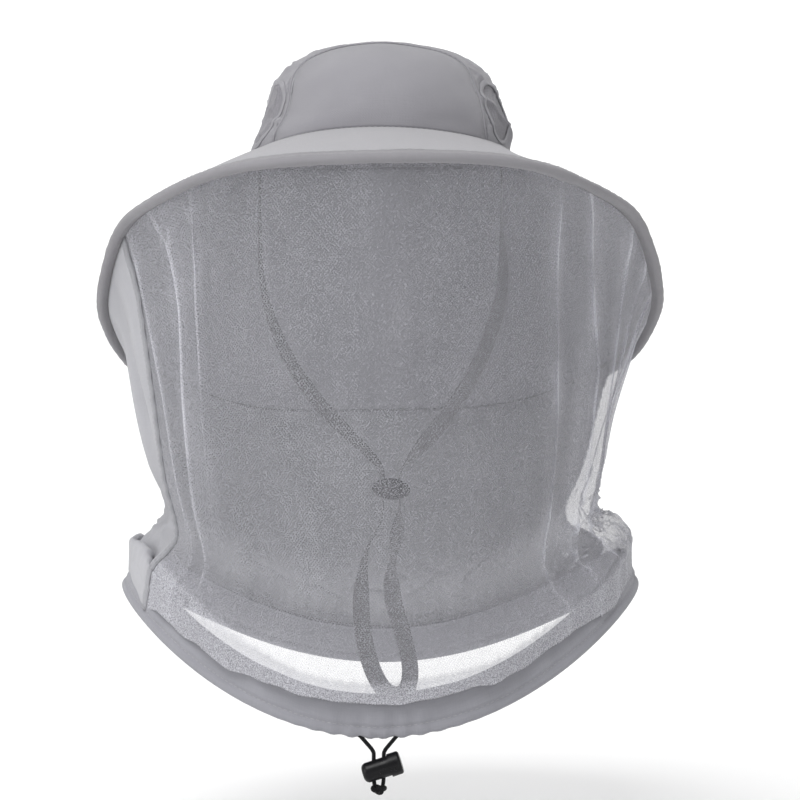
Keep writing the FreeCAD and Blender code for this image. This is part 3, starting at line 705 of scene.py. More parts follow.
def net_cloth(name, colour, pitch, cover, sparkle):
    """See-through knitted net: the holes between threads let light and sight through. It is denser
    where its attributes say that it is gathered or folded, and where they say folded its colour is
    also painted lighter, a painted highlight on the folds and crushed ridges."""
    s = Shader(name)
    cloth, u, v = s.cloth()
    place = s.place()
    slanted = pitch / 0.7071
    first = s.ripple(s.plus(u, v), slanted, "COSINE")
    second = s.ripple(s.math("SUBTRACT", u, v), slanted, "COSINE")
    web = s.math("MAXIMUM", first, second)
    grain = s.noise(place, 1 / (0.7 * MM), 1, 0.6)
    gathers, folds = (
        s.add("ShaderNodeAttribute", out=2, attribute_name=kind) for kind in ("gather", "fold"))
    alpha = s.remap(web, -0.2, 0.95, cover - sparkle * 0.5, cover + sparkle * 0.5)
    for more in (
        s.remap(grain, 0.32, 0.68, -sparkle, sparkle),
        s.remap(s.noise(place, 30, 3), 0.3, 0.7, -0.025, 0.025),
        s.remap(s.streaks(cloth, 9, 60, 0.55), 0.35, 0.7, -0.02, 0.03),
        s.times(gathers, s.remap(grain, 0.35, 0.65, 0.55, 1.15)),
        s.times(folds, 0.26),
    ):
        alpha = s.plus(alpha, more)
    base = s.mix(s.remap(grain, 0.3, 0.7), rgba(colour, 0.8), rgba(colour, 1.2))
    return s.finish(
        # painted highlight: where the fold attribute is high, the colour is mixed towards a lighter grey
        s.mix(folds, base, rgba(colour, 1.6)), 0.7,
        s.bump(s.plus(web, grain), 0.0002, 0.6),
        Alpha=s.math("MINIMUM", s.math("MAXIMUM", alpha, 0.08), 0.97),
        Sheen_Weight=0.2, Sheen_Roughness=0.35, Specular_IOR_Level=0.3)


def webbing(name, colour):
    """Flat woven tape with ribs across it."""
    s = Shader(name)
    cloth, u, v = s.cloth()
    ribs, warp = s.ripple(v, 1.1), s.ripple(u, 0.8)
    grain = s.streaks(cloth, 0.6, 6)
    shade = s.plus(s.remap(grain, 0.3, 0.7, 0, 0.7), s.remap(ribs, -1, 1, 0, 0.3))
    return s.finish(
        s.mix(shade, rgba(colour, 0.82), rgba(colour, 1.12)),
        s.remap(grain, 0.3, 0.7, 0.62, 0.8),
        s.bump(s.plus(ribs, s.times(warp, 0.5)), 0.00018, 0.8),
        Sheen_Weight=0.3, Sheen_Roughness=0.4, Specular_IOR_Level=0.35)


def braid(name, colour):
    """Round elastic cord with a crossing braid."""
    s = Shader(name)
    _, u, v = s.cloth()
    cross = s.times(s.ripple(s.plus(u, v), 1.25), s.ripple(s.math("SUBTRACT", u, v), 1.25))
    fuzz = s.noise(s.place(), 900, 3)
    shade = s.plus(s.remap(cross, -1, 1, 0, 0.6), s.remap(fuzz, 0.3, 0.7, 0, 0.4))
    return s.finish(
        s.mix(shade, rgba(colour, 0.6), rgba(colour, 2)),
        s.remap(fuzz, 0.3, 0.7, 0.55, 0.75), s.bump(cross, 0.00025, 0.9),
        Sheen_Weight=0.05, Sheen_Roughness=0.4, Specular_IOR_Level=0.15)


def plastic(name, colour, rough, speckle, shine):
    """Moulded plastic with faint flow marks and a slightly uneven surface."""
    s = Shader(name)
    place = s.place()
    flow = s.noise(place, 160, 4, 0.55)
    fine = s.noise(place, 1100)
    dark, light = rgba(colour, 1 - speckle), rgba(colour, 1 + 1.5 * speckle)
    return s.finish(
        s.mix(s.remap(flow, 0.4, 0.62), dark, light),
        s.remap(flow, 0.35, 0.65, rough - 0.05, rough + 0.07),
        s.bump(fine, 0.00003, 0.5, s.bump(flow, 0.00012, 0.5)), Specular_IOR_Level=shine)


def foam(name, colour):
    s = Shader(name)
    cells = s.add("ShaderNodeTexVoronoi", {"Vector": s.place(), "Scale": 1200})
    return s.finish(s.mix(cells, rgba(colour, 0.75), rgba(colour, 1.05)), 0.95,
                    s.bump(cells, 0.0002, 0.7))


def metal(name):
    s = Shader(name)
    lines = s.noise(s.place(), 700, 3)
    return s.finish(
        s.mix(lines, (0.45, 0.45, 0.46, 1), (0.68, 0.68, 0.7, 1)),
        s.remap(lines, 0.3, 0.7, 0.22, 0.38), s.bump(lines, 0.00003, 0.5), Metallic=1)


def paper(name):
    s = Shader(name)
    grain = s.noise(s.place(), 900)
    return s.finish(s.mix(grain, (0.9, 0.9, 0.9, 1), (0.93, 0.93, 0.93, 1)), 0.9,
                    s.bump(grain, 0.0001, 0.3))


MATERIALS = {slot: make(slot, *values, **settings) for slot, make, values, settings in (
    ("hat_cloth", woven, [(0.275, 0.27, 0.292)], dict(mottle=0.07)),
    ("brim_cloth", woven, [(0.375, 0.37, 0.39)], dict(mottle=0.06, wrinkle_size=9)),
    ("brim_lining", woven, [(0.31, 0.31, 0.335)], dict(mottle=0.08)),
    ("binding_cloth", woven, [(0.25, 0.245, 0.26)], dict(pitch=0.9)),
    ("sweatband_cloth", woven, [(0.22, 0.22, 0.24)], dict(pitch=1.3, bump=0.0002, sheen=0.4)),
    ("cape_cloth", woven, [(0.42, 0.42, 0.445)],
     dict(mottle=0.08, wrinkle=0.0005, wrinkle_size=10)),
    ("hem_cloth", woven, [(0.285, 0.285, 0.313)], dict(wrinkle=0.0005, wrinkle_size=8)),
    ("seam_tape", woven, [(0.34, 0.34, 0.365)], dict(pitch=1, bump=0.0002, mottle=0.12)),
    ("sewing_thread", woven, [(0.34, 0.34, 0.36)],
     dict(pitch=0.4, bump=0.00008, rough=0.6, mottle=0.12)),
    ("face_net", net_cloth, [(0.43, 0.43, 0.465)], dict(pitch=1.3, cover=0.37, sparkle=0.11)),
    ("vent_mesh", net_cloth, [(0.22, 0.215, 0.235)], dict(pitch=1.6, cover=0.93, sparkle=0.06)),
    ("strap_webbing", webbing, [(0.125, 0.125, 0.133)], {}),
    ("elastic_cord", braid, [(0.006, 0.006, 0.007)], {}),
    ("lock_plastic", plastic, [(0.004, 0.004, 0.005)], dict(rough=0.32, speckle=0.1, shine=0.22)),
    ("slider_plastic", plastic, [(0.006, 0.006, 0.007)], dict(rough=0.4, speckle=0.3, shine=0.25)),
    ("brim_foam", foam, [(0.6, 0.6, 0.6)], {}),
    ("spring_steel", metal, [], {}),
)}


# ---- pieces on the frame

def dress(obj, slot, *cad_nodes, body="hat", material=None):
    """Gives a piece its material, by default its slot's, and ties it to the frame."""
    obj.data.materials.append(MATERIALS[material or slot])
    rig.ride(obj, body)
    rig.slot(obj, slot)
    if cad_nodes:
        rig.replaces(obj, *cad_nodes)
    return obj


def cloth(name, points, thickness, slot, *cad_nodes, closed=False, keep=None):
    """A piece of cloth on the hat, through a grid of points."""
    obj = grid_object(name, points, closed, keep)
    modifier = obj.modifiers.new("cloth thickness", "SOLIDIFY")
    modifier.thickness = thickness * MM
    modifier.offset = 0
    return dress(obj, slot, *cad_nodes)


def cord(name, line, radius, slot, *cad_nodes, body="hat", **shape):
    return dress(swept_tube(name, line, radius, **shape), slot, *cad_nodes, body=body)


def sew(name, path, normals, slot, **sizes):
    """A row of stitches on the hat."""
    dress(stitches(name, path, normals, **sizes), slot, material="sewing_thread")


def sew_round(name, points, normals, row, slot, raised=0.3):
    """Stitches along one row of a closed grid."""
    n = looped(normals, row)
    sew(name, looped(points, row) + n * raised, n, slot)


def repaint(name, material):
    """Gives a CAD node a better material."""
    obj = nodes[name]
    if not obj.data.materials:
        obj.data.materials.append(MATERIALS[material])
    for slot in obj.material_slots:
        slot.material = MATERIALS[material]


# ---- crown

def meridian_panel(front):
    """The end panel, as lines that climb from the crown's foot to the seam."""
    sign = 1 if front else -1
    widest = math.degrees(math.acos(-seam_y(0) / OPENING_HALF_LENGTH))
    angles = np.linspace(-widest, widest, 91) * 0.9995
    low, high = np.zeros_like(angles), np.ones_like(angles)
    for _ in range(40):
        middle = (low + high) / 2
        p = dome_point(angles, middle)
        before = p[:, 1] < seam_y(p[:, 2])
        low, high = np.where(before, middle, low), np.where(before, high, middle)
    foot = 0.008
    rise = foot + (np.maximum(low, foot)[:, None] - foot) * np.linspace(0, 1, 49)[None, :]
    return dome_point(angles[:, None] + 0 * rise, rise) * [sign, sign, 1]


def strip_point(beta, share):
    """The middle strip: beta goes from ear to ear over the top, share from front to rear seam."""
    direction = np.radians(beta)
    low, high = 0 * beta + 0 * share, 0 * beta + 0 * share + 120
    for _ in range(44):
        rho = (low + high) / 2
        x, z = rho * np.cos(direction), rho * np.sin(direction)
        y = (share * 2 - 1) * -seam_y(np.clip(z, 0, CROWN_HEIGHT + 4))
        inside = dome_size(x, y, z) < 1
        low, high = np.where(inside, rho, low), np.where(inside, high, rho)
    return np.stack([x, y, z], -1)


def crown_creases(points, strip):
    """How far the crown's cloth stands out or in; the middle strip is more creased."""
    side = smooth(np.abs(points[..., 0]), 20, 60)
    low = fall(points[..., 2], 0, 10)
    amount = (0.9 * waves(points, 60, 3) + 0.35 * waves(points, 24, 4)) * (0.5 + 0.5 * side)
    if strip:
        fold = crumples(points * [1, 0.45, 1], 34, 11) - 0.3
        amount += 2.2 * fold * (0.25 + 0.75 * side)
        near_seam = bell(np.abs(points[..., 1]), np.abs(seam_y(points[..., 2])), 7)
        amount += 1.1 * near_seam * crumples(points * [0.5, 0.3, 2.2], 18, 19)
    return amount * (1 - 0.85 * low)


def vent_distance(points):
    """How far a place is from the vents' middle: 1 is on their edge."""
    back, up = points[..., 1] - VENT_BACK, points[..., 2] - VENT_UP
    return np.hypot(back / VENT_HALF_LENGTH, up / VENT_HALF_HEIGHT)


def make_crown():
    for name in ("front", "rear"):
        points = meridian_panel(name == "front")
        edge = smooth(np.linspace(0, 1, points.shape[1]), 0.93, 1)[None, :]
        lift = crown_creases(points, False) - 1.4 * edge
        shown = settle(points + outward(points) * (lift - 0.6)[..., None])
        cloth(f"crown_{name}_cloth", shown, SHELL, "hat_cloth", f"crown_{name}_panel")
    beta, share = lattice(np.linspace(1.2, 178.8, 181), np.linspace(0, 1, 97))
    points = strip_point(beta, share)
    creases = crown_creases(points, True) * (1 - 0.2 * bell(vent_distance(points), 1, 0.25))
    lift = creases - 1.2 * smooth(np.abs(share - 0.5), 0.475, 0.5)
    shown = settle(points + outward(points) * (lift - 0.6)[..., None])
    centre = 0.25 * (points[1:, 1:] + points[:-1, 1:] + points[1:, :-1] + points[:-1, :-1])
    cloth("crown_middle_cloth", shown, SHELL, "hat_cloth", "crown_middle_strip",
          keep=vent_distance(centre) > 1)
    for name, sign in (("front", 1), ("rear", -1)):
        mirrored = np.array([1, sign, 1])
        line = strip_point(np.linspace(1.2, 178.8, 240), np.zeros(240)) * mirrored
        lift = crown_creases(line, False)[:, None]
        welt = settle(line + outward(line) * (lift - 0.35))
        cord(f"crown_seam_{name}", welt, 0.9, "hat_cloth", sides=8)
        for k, shift in enumerate((-3.2, 3.2)):
            row = line + [0, shift * sign, 0]
            row = row / dome_size(*row.T)[:, None]
            out = outward(row)
            lift = crown_creases(row, shift * sign > 0)[:, None]
            sew(f"crown_stitches_{name}_{k}", settle(row + out * lift), out, "hat_cloth")
        inner = strip_point(np.linspace(26, 154, 120), np.zeros(120)) * mirrored
        rows = [inner + [0, shift, 0] for shift in np.linspace(-3.5, 3.5, 5)]
        points = settle(np.stack([row - outward(row) * 1.9 for row in rows], 1))
        cloth(f"crown_tape_{name}", points, THIN, "seam_tape", f"crown_seam_tape_{name}")


def make_vents():
    """The photo shows the left one well; the right one is kept low and faint."""
    turn = np.linspace(0, 2 * np.pi, 73)[:-1]
    steps = np.linspace(-1.1, 1.1, 53)
    up, along = lattice(steps, steps)
    width = np.linspace(-1, 1, 9)
    rim = 0.9 + 1.3 * width
    for name, sign, high, sunk in (("left", 1, 0.4, 0.75), ("right", -1, 0.05, 0.1)):
        y = VENT_BACK + VENT_HALF_LENGTH * along * sign
        patch = on_dome(y, VENT_UP + VENT_HALF_HEIGHT * up, sign, 0)
        patch += outward(patch) * (0.8 * crown_creases(patch, True) - sunk)[..., None]
        cloth(f"vent_patch_{name}", settle(patch), THIN, "vent_mesh", f"vent_mesh_{name}",
              keep=np.hypot(up, along)[:-1, :-1] < 1.06)
        y = VENT_BACK + np.outer(np.cos(turn) * sign, VENT_HALF_LENGTH + rim)
        z = VENT_UP + np.outer(np.sin(turn), VENT_HALF_HEIGHT + rim)
        lift = high * np.sqrt(np.clip(1 - width ** 2, 0, 1)) + 0.05
        points = on_dome(y, z, sign, lift[None, :, None])
        points = settle(points + outward(points) * crown_creases(points, True)[..., None] * 0.8)
        cloth(f"vent_binding_{name}", points, 0.5, "hat_cloth", f"vent_rim_{name}", closed=True)
        ring = looped(points, 6)
        sew(f"vent_stitches_{name}", ring, outward(ring), "hat_cloth", length=1.6, gap=0.8)


def make_sweatband():
    angle, z = lattice(np.radians(np.arange(0, 360, 2)),
                       np.linspace(SWEATBAND_LOW, SWEATBAND_TOP, 15))
    inwards = SWEATBAND_IN + 0.5 * np.sin(np.linspace(0, np.pi, 15))
    points = np.stack([
        (OPENING_HALF_WIDTH * dome_width(z) - inwards) * np.sin(angle),
        -(OPENING_HALF_LENGTH * dome_width(z) - inwards) * np.cos(angle), z,
    ], -1)
    level = np.array([1, 1, 0])
    points = settle(points + unit(points * level) * (0.25 * waves(points, 16, 71))[..., None])
    cloth("sweatband_cloth", points, 1, "sweatband_cloth", "sweatband", closed=True)
    for k, row in enumerate((1, 13)):
        sew_round(f"sweatband_stitches_{k}", points, -unit(points * level), row,
                  "sweatband_cloth", 0.5)


# ---- brim

def make_brim():
    angles, shares = np.arange(0.0, 360), np.linspace(0, 1, 57)
    angle, t = lattice(angles, shares)
    base = brim_point(angle, t)
    up = grid_normals(base, closed=True)
    pucker = np.sin(np.radians(angle) * 61 + 1.5 * waves(base, 90, 31))
    pucker = 0.28 * pucker * smooth(t, 0.75, 0.97) * fall(t, 0.985, 1)
    lift = 0.5 * waves(base, 120, 32) * smooth(t, 0, 0.2) + pucker
    apart = BRIM_OFFSET * (1 - 0.25 * smooth(t, 0.93, 1))     # thinner towards the bound edge
    for name, sign, slot, seams in (("upper", 1, "brim_cloth", (0.018, 0.925)),
                                    ("lower", -1, "brim_lining", (0.925,))):
        points = base + up * (sign * apart + lift)[..., None]
        cloth(f"brim_{name}_sheet", points, SEWN, slot, f"brim_{name}_cloth", closed=True)
        for k, share in enumerate(seams):
            row = np.argmin(np.abs(shares - share))
            sew_round(f"brim_stitches_{name}_{k}", points, sign * up, row, slot)
    pad = (base + up * lift[..., None])[:, (shares > 0.012) & (shares < 0.985)]
    cloth("brim_foam_sheet", pad, 2, "brim_foam", "brim_stiffener", closed=True)
    make_binding(angles, up[:, -1])


def make_binding(angle, up):
    """The band that is folded over the brim's edge."""
    edge = brim_point(angle, np.ones_like(angle))
    out = unit(edge - brim_point(angle, np.full_like(angle, 0.97)))
    half_turn = math.pi * BINDING_RADIUS
    rows = []
    for way in np.linspace(0, 1, 29) * (2 * BINDING_LEG + half_turn):
        turn = min(max((way - BINDING_LEG) / BINDING_RADIUS, 0), math.pi)
        leg = max(BINDING_LEG - way, way - BINDING_LEG - half_turn, 0)
        rows.append(edge + out * (BINDING_RADIUS * math.sin(turn) - leg)
                    + up * BINDING_RADIUS * math.cos(turn))
    points = np.stack(rows, 1)
    normal = grid_normals(points, closed=True)
    wrinkle = 0.16 * np.sin(np.radians(angle)[:, None] * 140 + 2 * waves(points, 40, 35))
    points += normal * (wrinkle + 0.2 * waves(points, 30, 36))[..., None]
    cloth("brim_binding_cloth", points, SEWN, "binding_cloth", "brim_edge_binding", closed=True)
    for k, row in enumerate((2, 26)):
        sew_round(f"binding_stitches_{k}", points, normal, row, "binding_cloth")


# ---- veil

def blouse(points, angle, depth):
    """Where the worn cloth leaves the even shape, outwards and down: it bags over the hem, most at
    the sides, and behind the wearer's left it is drawn in and stands on the shoulder."""
    uneven = 1 + 0.2 * waves(points, 60, 51) + 0.07 * waves(points, 24, 52)
    a = from_front(angle)
    aside = np.sin(np.radians(a)) ** 2
    out = bell(depth, 0.78, 0.06) * 1.5 + bell(depth, 0.845, 0.034) * (4 + 1.5 * aside)
    down = bell(depth, 0.834, 0.024) * (7 + 5 * aside)
    return out * uneven + bumps(VEIL_DENTS, a, depth), down * uneven - bumps(VEIL_RAISED, a, depth)


def hang(base, angle, depth, push, start=0.04):
    """The veil's points, pushed out of its rest surface and bloused over the hem, apart from its
    sewn ends; and the outward directions and the share of freedom between the ends."""
    free = smooth(depth, 0, start) * fall(depth, 0.93, 0.985)
    bag, drop = blouse(base, angle, depth)
    out = grid_normals(base)
    points = base + out * ((push + bag) * free)[..., None]
    points[..., 2] -= drop * free
    return points, out, free


def net_grid():
    """The net's columns, rows and angles, with more columns at each pleat, and the pleats."""
    t = np.linspace(0, 1, 171)
    pleats = []
    for width, depths, angles, amounts in PLEATS:
        line, amount = (softened(np.interp(t, depths, v), 13) for v in (angles, amounts))
        pleats.append((float(line[np.argmin(np.abs(t - 0.15))]), line, amount, width))
    low, high = RIGHT_SEAM + 1, LEFT_SEAM - 1
    columns = set(np.round(np.arange(low, high, 1.15), 3).tolist() + [low, high])
    for mark, _, _, width in pleats:
        reach = math.degrees(1.25 * width / VEIL_RADIUS)
        columns = {c for c in columns if abs(c - mark) > reach or c in (low, high)}
        columns |= set(np.round(np.linspace(mark - reach, mark + reach, 19), 4).tolist())
    columns = np.array(sorted(c for c in columns if low <= c <= high))
    marks = [low, *[mark for mark, _, _, _ in pleats], high]
    angle = np.stack([np.interp(columns, marks, [low, *[line[j] for _, line, _, _ in pleats], high])
                      for j in range(len(t))], 1)
    return columns, t, angle, pleats


def make_net():
    columns, t, angle, pleats = net_grid()
    depth = t[None, :] + 0 * angle
    base = veil_point(angle, depth)
    first, last = columns[0], columns[-1]
    sides = (smooth(columns, first, first + 5) * fall(columns, last - 5, last))[:, None]
    # slow waves of the hanging net
    push = 1.7 * waves(np.stack([angle * 2.6, depth * 60], -1), 70, 41)
    push = push * (1 - 0.75 * bell(angle, 0, 26)) * smooth(depth, 0, 0.25)
    push = push * fall(depth, 0.85, 0.95) + bumps(NET_DENTS, angle, depth)
    # crushed net low down at both sides
    left_low = smooth(angle, 32, 58) * bell(depth, 0.55, 0.15)
    left_crush = crumples(base * [1, 1, 0.45], 17, 61) - 0.45
    push += left_low * (4.8 * left_crush + 1.2 * waves(base, 30, 63))
    right_low = smooth(-angle, 30, 52) * bell(depth, 0.66, 0.12)
    push += 3 * right_low * (crumples(base * [1, 1, 0.8], 22, 65) - 0.4)
    # gathers at the hem and puckers at the brim
    phase = angle * 1.9 + 5 * waves(np.stack([angle * 2.6, depth * 30], -1), 60, 67)
    gather = smooth(depth, 0.58, 0.8) * fall(depth, 0.78, 0.83)
    push += 0.8 * np.sin(phase) * gather * (1 + 0.6 * waves(base, 22, 68))
    pucker = fall(depth, 0.03, 0.17) * smooth(np.abs(angle - 10), 30, 58)
    ripple = np.sin(angle * 2.3 + 1.4 * waves(base, 46, 69))
    push += 0.8 * pucker * ripple
    slide, fold = 0 * push, 0 * push
    for mark, _, amount, width in pleats:
        local = np.radians(columns - mark) * VEIL_RADIUS / width
        inside = np.abs(local) < 1
        wave = np.where(inside, np.sin(np.pi * local), 0)
        crest = np.where(inside, np.cos(np.pi * local / 2) ** 2, 0)
        slide -= np.outer(wave, amount) * width * 0.62
        push += np.outer(wave * 0.7 + crest * 1.1, amount)
        # the pleat's crest: the fold attribute makes the net denser there and paints it lighter, a painted highlight
        seen = 0.6 * np.clip(crest * 1.3 - 0.2, 0, 1) + 0.32 * bell(local, 0, 2.4)
        fold += np.outer(seen, amount)
    points, _, free = hang(base, angle, depth, push * sides, 0.035)
    points += unit(np.gradient(base, axis=0)) * (slide * sides * free)[..., None]
    net = grid_object("net_sheet", points)
    # denser where the net is gathered, doubled or crushed; painted highlight: the fold values also make its colour
    # lighter
    gathered = 0.34 * smooth(depth + 0.09 * smooth(-angle, 12, 50), 0.75, 0.80)
    gathered += 0.05 * smooth(depth, 0.58, 0.80) + 0.3 * fall(depth, 0, 0.012)
    panel = 0.2 * bell(angle, 52, 3.8) * smooth(depth, 0.08, 0.2) * fall(depth, 0.45, 0.6)
    at_sides = 0.12 * smooth(np.abs(angle - 15), 52, 80) * fall(depth, 0.75, 0.95)
    ridges = 1.4 * left_low * np.clip(left_crush + 0.1, 0, 1)
    ridges += 0.5 * right_low * np.clip(left_crush, 0, 1)
    puckers = smooth(ripple, 0.6, 1) * smooth(waves(base, 26, 70), -0.2, 0.8)
    ridges += 0.25 * pucker * puckers
    uneven = 0.45 + 0.55 * smooth(waves(base, 52, 73), -0.7, 0.9)
    # the painted highlight and density are made uneven, and stronger on the wearer's left
    fold = fold * uneven * (1 + 0.75 * smooth(angle, 22, 40))
    fold = np.clip(fold * 0.8 + ridges, 0, 1)
    for name, values in (("gather", gathered + panel + at_sides), ("fold", fold)):
        attribute = net.data.attributes.new(name, "FLOAT", "POINT")
        attribute.data.foreach_set("value", values.ravel().astype(np.float32))
    dress(net, "face_net", "face_net")
    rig.sheet(net, flat=(0.60, 0.31), held="gathered", area=0.15,
             rests_on=["brim_lower_sheet", "hem_band"])


def make_cape():
    columns = np.linspace(LEFT_SEAM + 1, RIGHT_SEAM + 359, 260)
    angle, depth = lattice(columns, np.linspace(0, 1, 131))
    base = veil_point(angle, depth)
    first, last = columns[0], columns[-1]
    sides = smooth(angle, first, first + 5) * fall(angle, last - 4, last)
    drift = 4 * waves(np.stack([angle * 2.5, depth * 40], -1), 80, 81)
    folds = 2.4 * np.sin(np.radians(angle) * 17 + 0.12 * drift + depth * 1.5)
    push = folds * smooth(depth, 0, 0.3) + 1.6 * waves(base * [1, 1, 0.4], 48, 82)
    crush = crumples(base * [1, 1, 0.9], 32, 83) - 0.5
    push = (push + 2.6 * bell(depth, 0.62, 0.16) * crush) * fall(depth, 0.74, 0.86)
    low = smooth(depth, 0.6, 0.76) * fall(depth, 0.78, 0.84)
    push += 0.7 * low * np.sin(angle * 1.5 + 4 * waves(base, 60, 84))
    push += bumps(CAPE_DENTS, angle, depth)
    points = hang(base, angle, depth, push * sides)[0]
    cape = cloth("cape_sheet", points, SEWN, "cape_cloth", "neck_cape")
    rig.sheet(cape, flat=(0.56, 0.20), held="hung", area=0.10,
             rests_on=["brim_lower_sheet", "hem_band"])


def make_side_seams():
    half = 0.8
    across = np.linspace(-half, half, 7)
    for name, seam in (("left", LEFT_SEAM), ("right", RIGHT_SEAM)):
        angle, depth = lattice(seam + across, np.linspace(0, 1, 131))
        push = 0.35 * np.sin(depth * 190) + 0.8 * (1 - (across / half) ** 2)[:, None]
        points, out, _ = hang(veil_point(angle, depth), angle, depth, push)
        cloth(f"seam_strip_{name}", points, 1, "seam_tape", f"side_seam_{name}")
        for k, column in enumerate((1, 5)):
            n = out[column]
            sew(f"seam_stitches_{name}_{k}", points[column] + n * 0.75, n, "seam_tape")


# ---- hem, drawcord, lock, strap

def hem_surface(angle, share):
    """The casing's cloth on the outside, round the drawcord, and up the inside."""
    centre, up, out = hem_frame(angle)
    leg = HEM_HEIGHT - TUNNEL_RADIUS
    half_turn = math.pi * TUNNEL_RADIUS
    place = share * (2 * leg + half_turn)
    turn = np.clip((place - leg) / TUNNEL_RADIUS, 0, math.pi)
    climb = np.clip(np.where(place < leg, leg - place, place - leg - half_turn), 0, None)
    radius = TUNNEL_RADIUS + (HEM_MOUTH - TUNNEL_RADIUS) * smooth(climb / leg, 0, 1)
    rise = climb - TUNNEL_RADIUS * np.sin(turn)
    return centre + out * (radius * np.cos(turn))[..., None] + up * rise[..., None]


def make_hem():
    shares = np.linspace(0, 1, 61)
    angle, share = lattice(np.arange(0, 360, 0.75), shares)
    base = hem_surface(angle, share)
    out = grid_normals(base, closed=True)
    climb = np.abs(share - 0.5) * 2
    upright = base * [1, 1, 0.25]
    fold = 0.45 * waves(upright, 17, 91) + 0.7 * waves(upright, 46, 92)
    fold = fold * (1 - 0.75 * smooth(climb, 0.7, 1)) * smooth(climb, 0.05, 0.4)
    push = fold * np.where(share < 0.5, 1, 0.2)
    push += bumps([(-0.9, 0.30, 0.05), (-0.3, 0.93, 0.04)], climb)
    near_cord = bell(from_front(angle), 0, 14) * fall(climb, 0.2, 0.9)
    push += 0.7 * near_cord * np.sin(angle * 1.6)
    points = base + out * push[..., None]
    hem = cloth("hem_band", points, SEWN, "hem_cloth", "hem_casing", closed=True)
    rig.sheet(hem, flat=(0.89, 0.052), held="gathered", rests_on=["net_sheet", "cape_sheet"])
    for k, where in enumerate((0.02, 0.345, 0.655)):
        sew_round(f"hem_stitches_{k}", points, out, np.argmin(np.abs(shares - where)), "hem_cloth")


def make_spring():
    """The lock's spring: it shortens as the plunger is pressed."""
    turn = np.linspace(0, 2 * np.pi * SPRING_TURNS, 73)
    along = np.linspace(SPRING_START, SPRING_END, len(turn))
    c, s = math.cos(math.radians(LOCK_TILT)), math.sin(math.radians(LOCK_TILT))
    axis, upright = np.array([c, 0, s]), np.array([-s, 0, c])
    round_it = np.outer(np.cos(turn), [0, 1, 0]) + np.outer(np.sin(turn), upright)
    path = np.outer(along, axis) + SPRING_RADIUS * round_it
    coil = cord("lock_spring_wire", path + LOCK_CENTRE, SPRING_WIRE, "spring_steel",
                "cord_lock_spring", body="cord_lock", sides=10)
    free = SPRING_END - SPRING_START + 2 * SPRING_WIRE
    anchor = (np.array(LOCK_CENTRE) + axis * (SPRING_START - SPRING_WIRE)) * MM
    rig.squash(coil, "lock_plunger_press", axis=axis.tolist(), anchor=anchor.tolist(),
              keep=(free - PRESS) / free)
    return coil


def make_knot():
    """A trefoil of cord that fills the CAD knot's box."""
    radius = 1.35
    low, high = (np.array(corner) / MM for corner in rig.box("cord_knot"))
    turn = np.linspace(0, 2 * np.pi, 121)
    loop = np.stack([
        (np.sin(turn) + 2 * np.sin(2 * turn)) / 3, np.sin(3 * turn),
        (np.cos(turn) - 2 * np.cos(2 * turn)) / 3,
    ], -1) * ((high - low) / 2 - radius - 0.1) + (low + high) / 2
    return cord("cord_knot_tied", loop, radius, "elastic_cord", "cord_knot", sides=12)


def make_drawcord(spring):
    angles = np.linspace(CORD_LEAVES, 360 - CORD_LEAVES, 36)
    line = route_line([tunnel_centre(a) for a in angles])
    cord("drawcord_ring", line, CORD_RADIUS, "elastic_cord", "hem_drawcord")
    legs = []
    for side, sign, x in (("right", -1, LEG_X[0]), ("left", 1, LEG_X[1])):
        start, turn = tunnel_centre(sign * CORD_LEAVES), tunnel_centre(sign * CORD_TURNS_DOWN)
        y = LOCK_CENTRE[1]
        line = route_line([
            start, turn, (turn[0] + (x - turn[0]) * LEG_CLOSING, y, LEG_BEND),
            (x, y, LEG_STRAIGHT), (x, y, LEG_STRAIGHT - 3),
            (x, y, LEG_BOTTOM), (x * 0.7, y, LEG_BOTTOM - 2),
        ], 24)
        legs.append((line, cord(f"cord_leg_{side}", line, 0.95 * CORD_RADIUS, "elastic_cord",
                                f"drawcord_leg_{side}")))
    lock = [nodes["cord_lock_body"], nodes["cord_lock_plunger"], spring, make_knot()]
    for line, leg in legs:
        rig.cord(leg, exit=[c * MM for c in line[0]], length=0.0372, diameter=0.0024, far_end="knot",
                stiffness="limp", lay="hanging", path=(line * MM).tolist(), with_pieces=lock)


def make_strap():
    line = route_line(STRAP_ROUTE, 16)
    place = lengths(line)
    along = unit(np.gradient(line, axis=0))
    forward = np.array([0, 1, 0]) + 0 * along
    forward = unit(forward - along * np.sum(forward * along, 1, keepdims=True))
    twist = softened(np.radians(np.interp(place / place[-1], *zip(*STRAP_TWIST))), 17)[:, None]
    directions = forward * np.cos(twist) + np.cross(along, forward) * np.sin(twist)
    strap = cord("chin_tape", line, 0, "strap_webbing", "chin_strap", sides=24,
                 flat=(STRAP_WIDTH, STRAP_THICKNESS), directions=directions)
    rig.cord(strap, exit=[c * MM for c in line[0]], length=0.7187, diameter=0.010, far_end="object",
            stiffness="limp", lay="hanging", path=(line * MM).tolist(),
            with_pieces=[nodes["chin_slider"]])
    for name, sign in (("left", 1), ("right", -1)):
        make_tab(name, sign)


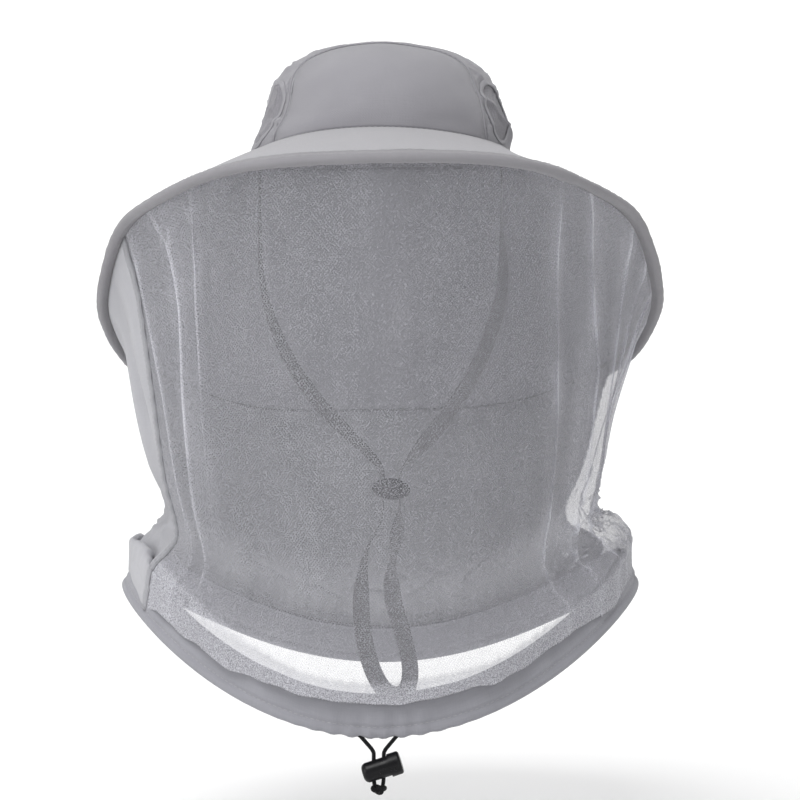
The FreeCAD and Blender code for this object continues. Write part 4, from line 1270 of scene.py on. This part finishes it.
def make_tab(name, sign):
    """The tab that the strap's end is sewn to, with a box of stitches on its inner side."""
    low, high = (np.array(corner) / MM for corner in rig.box(f"chin_strap_anchor_{name}"))
    y, z = lattice(np.linspace(low[1], high[1], 15), np.linspace(low[2], high[2], 25))
    x = (low[0] + high[0]) / 2 + sign * 0.15 * np.sin(y * 1.3) * np.cos(z * 0.9)
    cloth(f"strap_tab_{name}", settle(np.stack([x, y, z], -1))[::sign], 1.1, "strap_webbing",
          f"chin_strap_anchor_{name}")
    x = (low[0] if sign > 0 else high[0]) - sign * 0.05
    front, rear, bottom, top = low[1] + 2, high[1] - 2, low[2] + 8, high[2] - 2
    corners = np.array([(x, front, bottom), (x, rear, bottom), (x, rear, top), (x, front, top),
                        (x, front, bottom), (x, rear, top)])
    steps = np.arange(8)[:, None] / 8
    sides = [a + (b - a) * steps for a, b in zip(corners, corners[1:])]
    path = np.concatenate([*sides, corners[-1:]])
    normals = np.tile([-sign, 0, 0], (len(path), 1))
    sew(f"tab_stitches_{name}", settle(path), normals, "strap_webbing", length=1.4, gap=0.7)


# ---- stage, light and camera

def make_stage():
    """A paper floor that curves up into a backdrop."""
    floor_z, half_width = -430, 4000
    profile = [(-3000, 0), (1600, 0), (2100, 30), (2500, 160), (2750, 420), (2850, 800),
               (2870, 3200)]
    fine = [(y0 + (y1 - y0) * k / 4, z0 + (z1 - z0) * k / 4)
            for (y0, z0), (y1, z1) in zip(profile, profile[1:]) for k in range(4)] + profile[-1:]
    verts = [(x, y, floor_z + z) for x in (-half_width, half_width) for y, z in fine]
    n = len(fine)
    floor = mesh_object("studio_floor", verts, [(k, n + k, n + k + 1, k + 1) for k in range(n - 1)])
    floor.data.materials.append(paper("studio_paper"))
    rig.stage(floor)


def make_light_and_camera():
    scene = bpy.context.scene
    world = bpy.data.worlds.new("studio")
    world.use_nodes = True
    background = world.node_tree.nodes["Background"]
    background.inputs["Color"].default_value = (1, 1, 1, 1)
    background.inputs["Strength"].default_value = 0.52
    scene.world = world
    for name, place, target, size, power in (
        ("key", (-0.5, -1.1, 1.75), (0, 0, -0.1), 1.5, 34),
        ("fill", (0.9, -1.9, 0.3), (0, 0, -0.15), 1.4, 6),
        ("side", (-1.6, -0.9, 0.1), (0, 0, -0.2), 1, 9),
        ("backdrop", (0, 1.3, 1.7), (0, 2.6, 0.2), 2.2, 30),
    ):
        light = bpy.data.lights.new(name, "AREA")
        light.shape = "DISK"
        light.size = size
        light.energy = power
        obj = bpy.data.objects.new(name, light)
        obj.location = place
        direction = Vector(target) - Vector(place)
        obj.rotation_euler = direction.to_track_quat("-Z", "Y").to_euler()
        scene.collection.objects.link(obj)
    camera_data = bpy.data.cameras.new("photo view")
    camera_data.sensor_width = 36
    camera_data.lens = 94.8
    camera_data.clip_start = 0.05
    camera = bpy.data.objects.new("photo view", camera_data)
    camera.location = (0.012, -1.3, -0.154)
    camera.rotation_euler = (math.pi / 2, 0, 0)
    scene.collection.objects.link(camera)
    scene.camera = camera
    scene.view_settings.view_transform = "Standard"


make_crown()
make_vents()
make_sweatband()
make_brim()
make_net()
make_cape()
make_side_seams()
make_hem()
make_drawcord(make_spring())
make_strap()
repaint("cord_lock_body", "lock_plastic")
repaint("cord_lock_plunger", "lock_plastic")
repaint("chin_slider", "slider_plastic")
make_stage()
make_light_and_camera()

sizes = {"cad": [[float(c) for c in corner] for corner in cad_box],
         "visual": [[float(c) for c in corner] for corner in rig.bounds()]}
with open("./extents.json", "w") as handle:
    json.dump(sizes, handle)
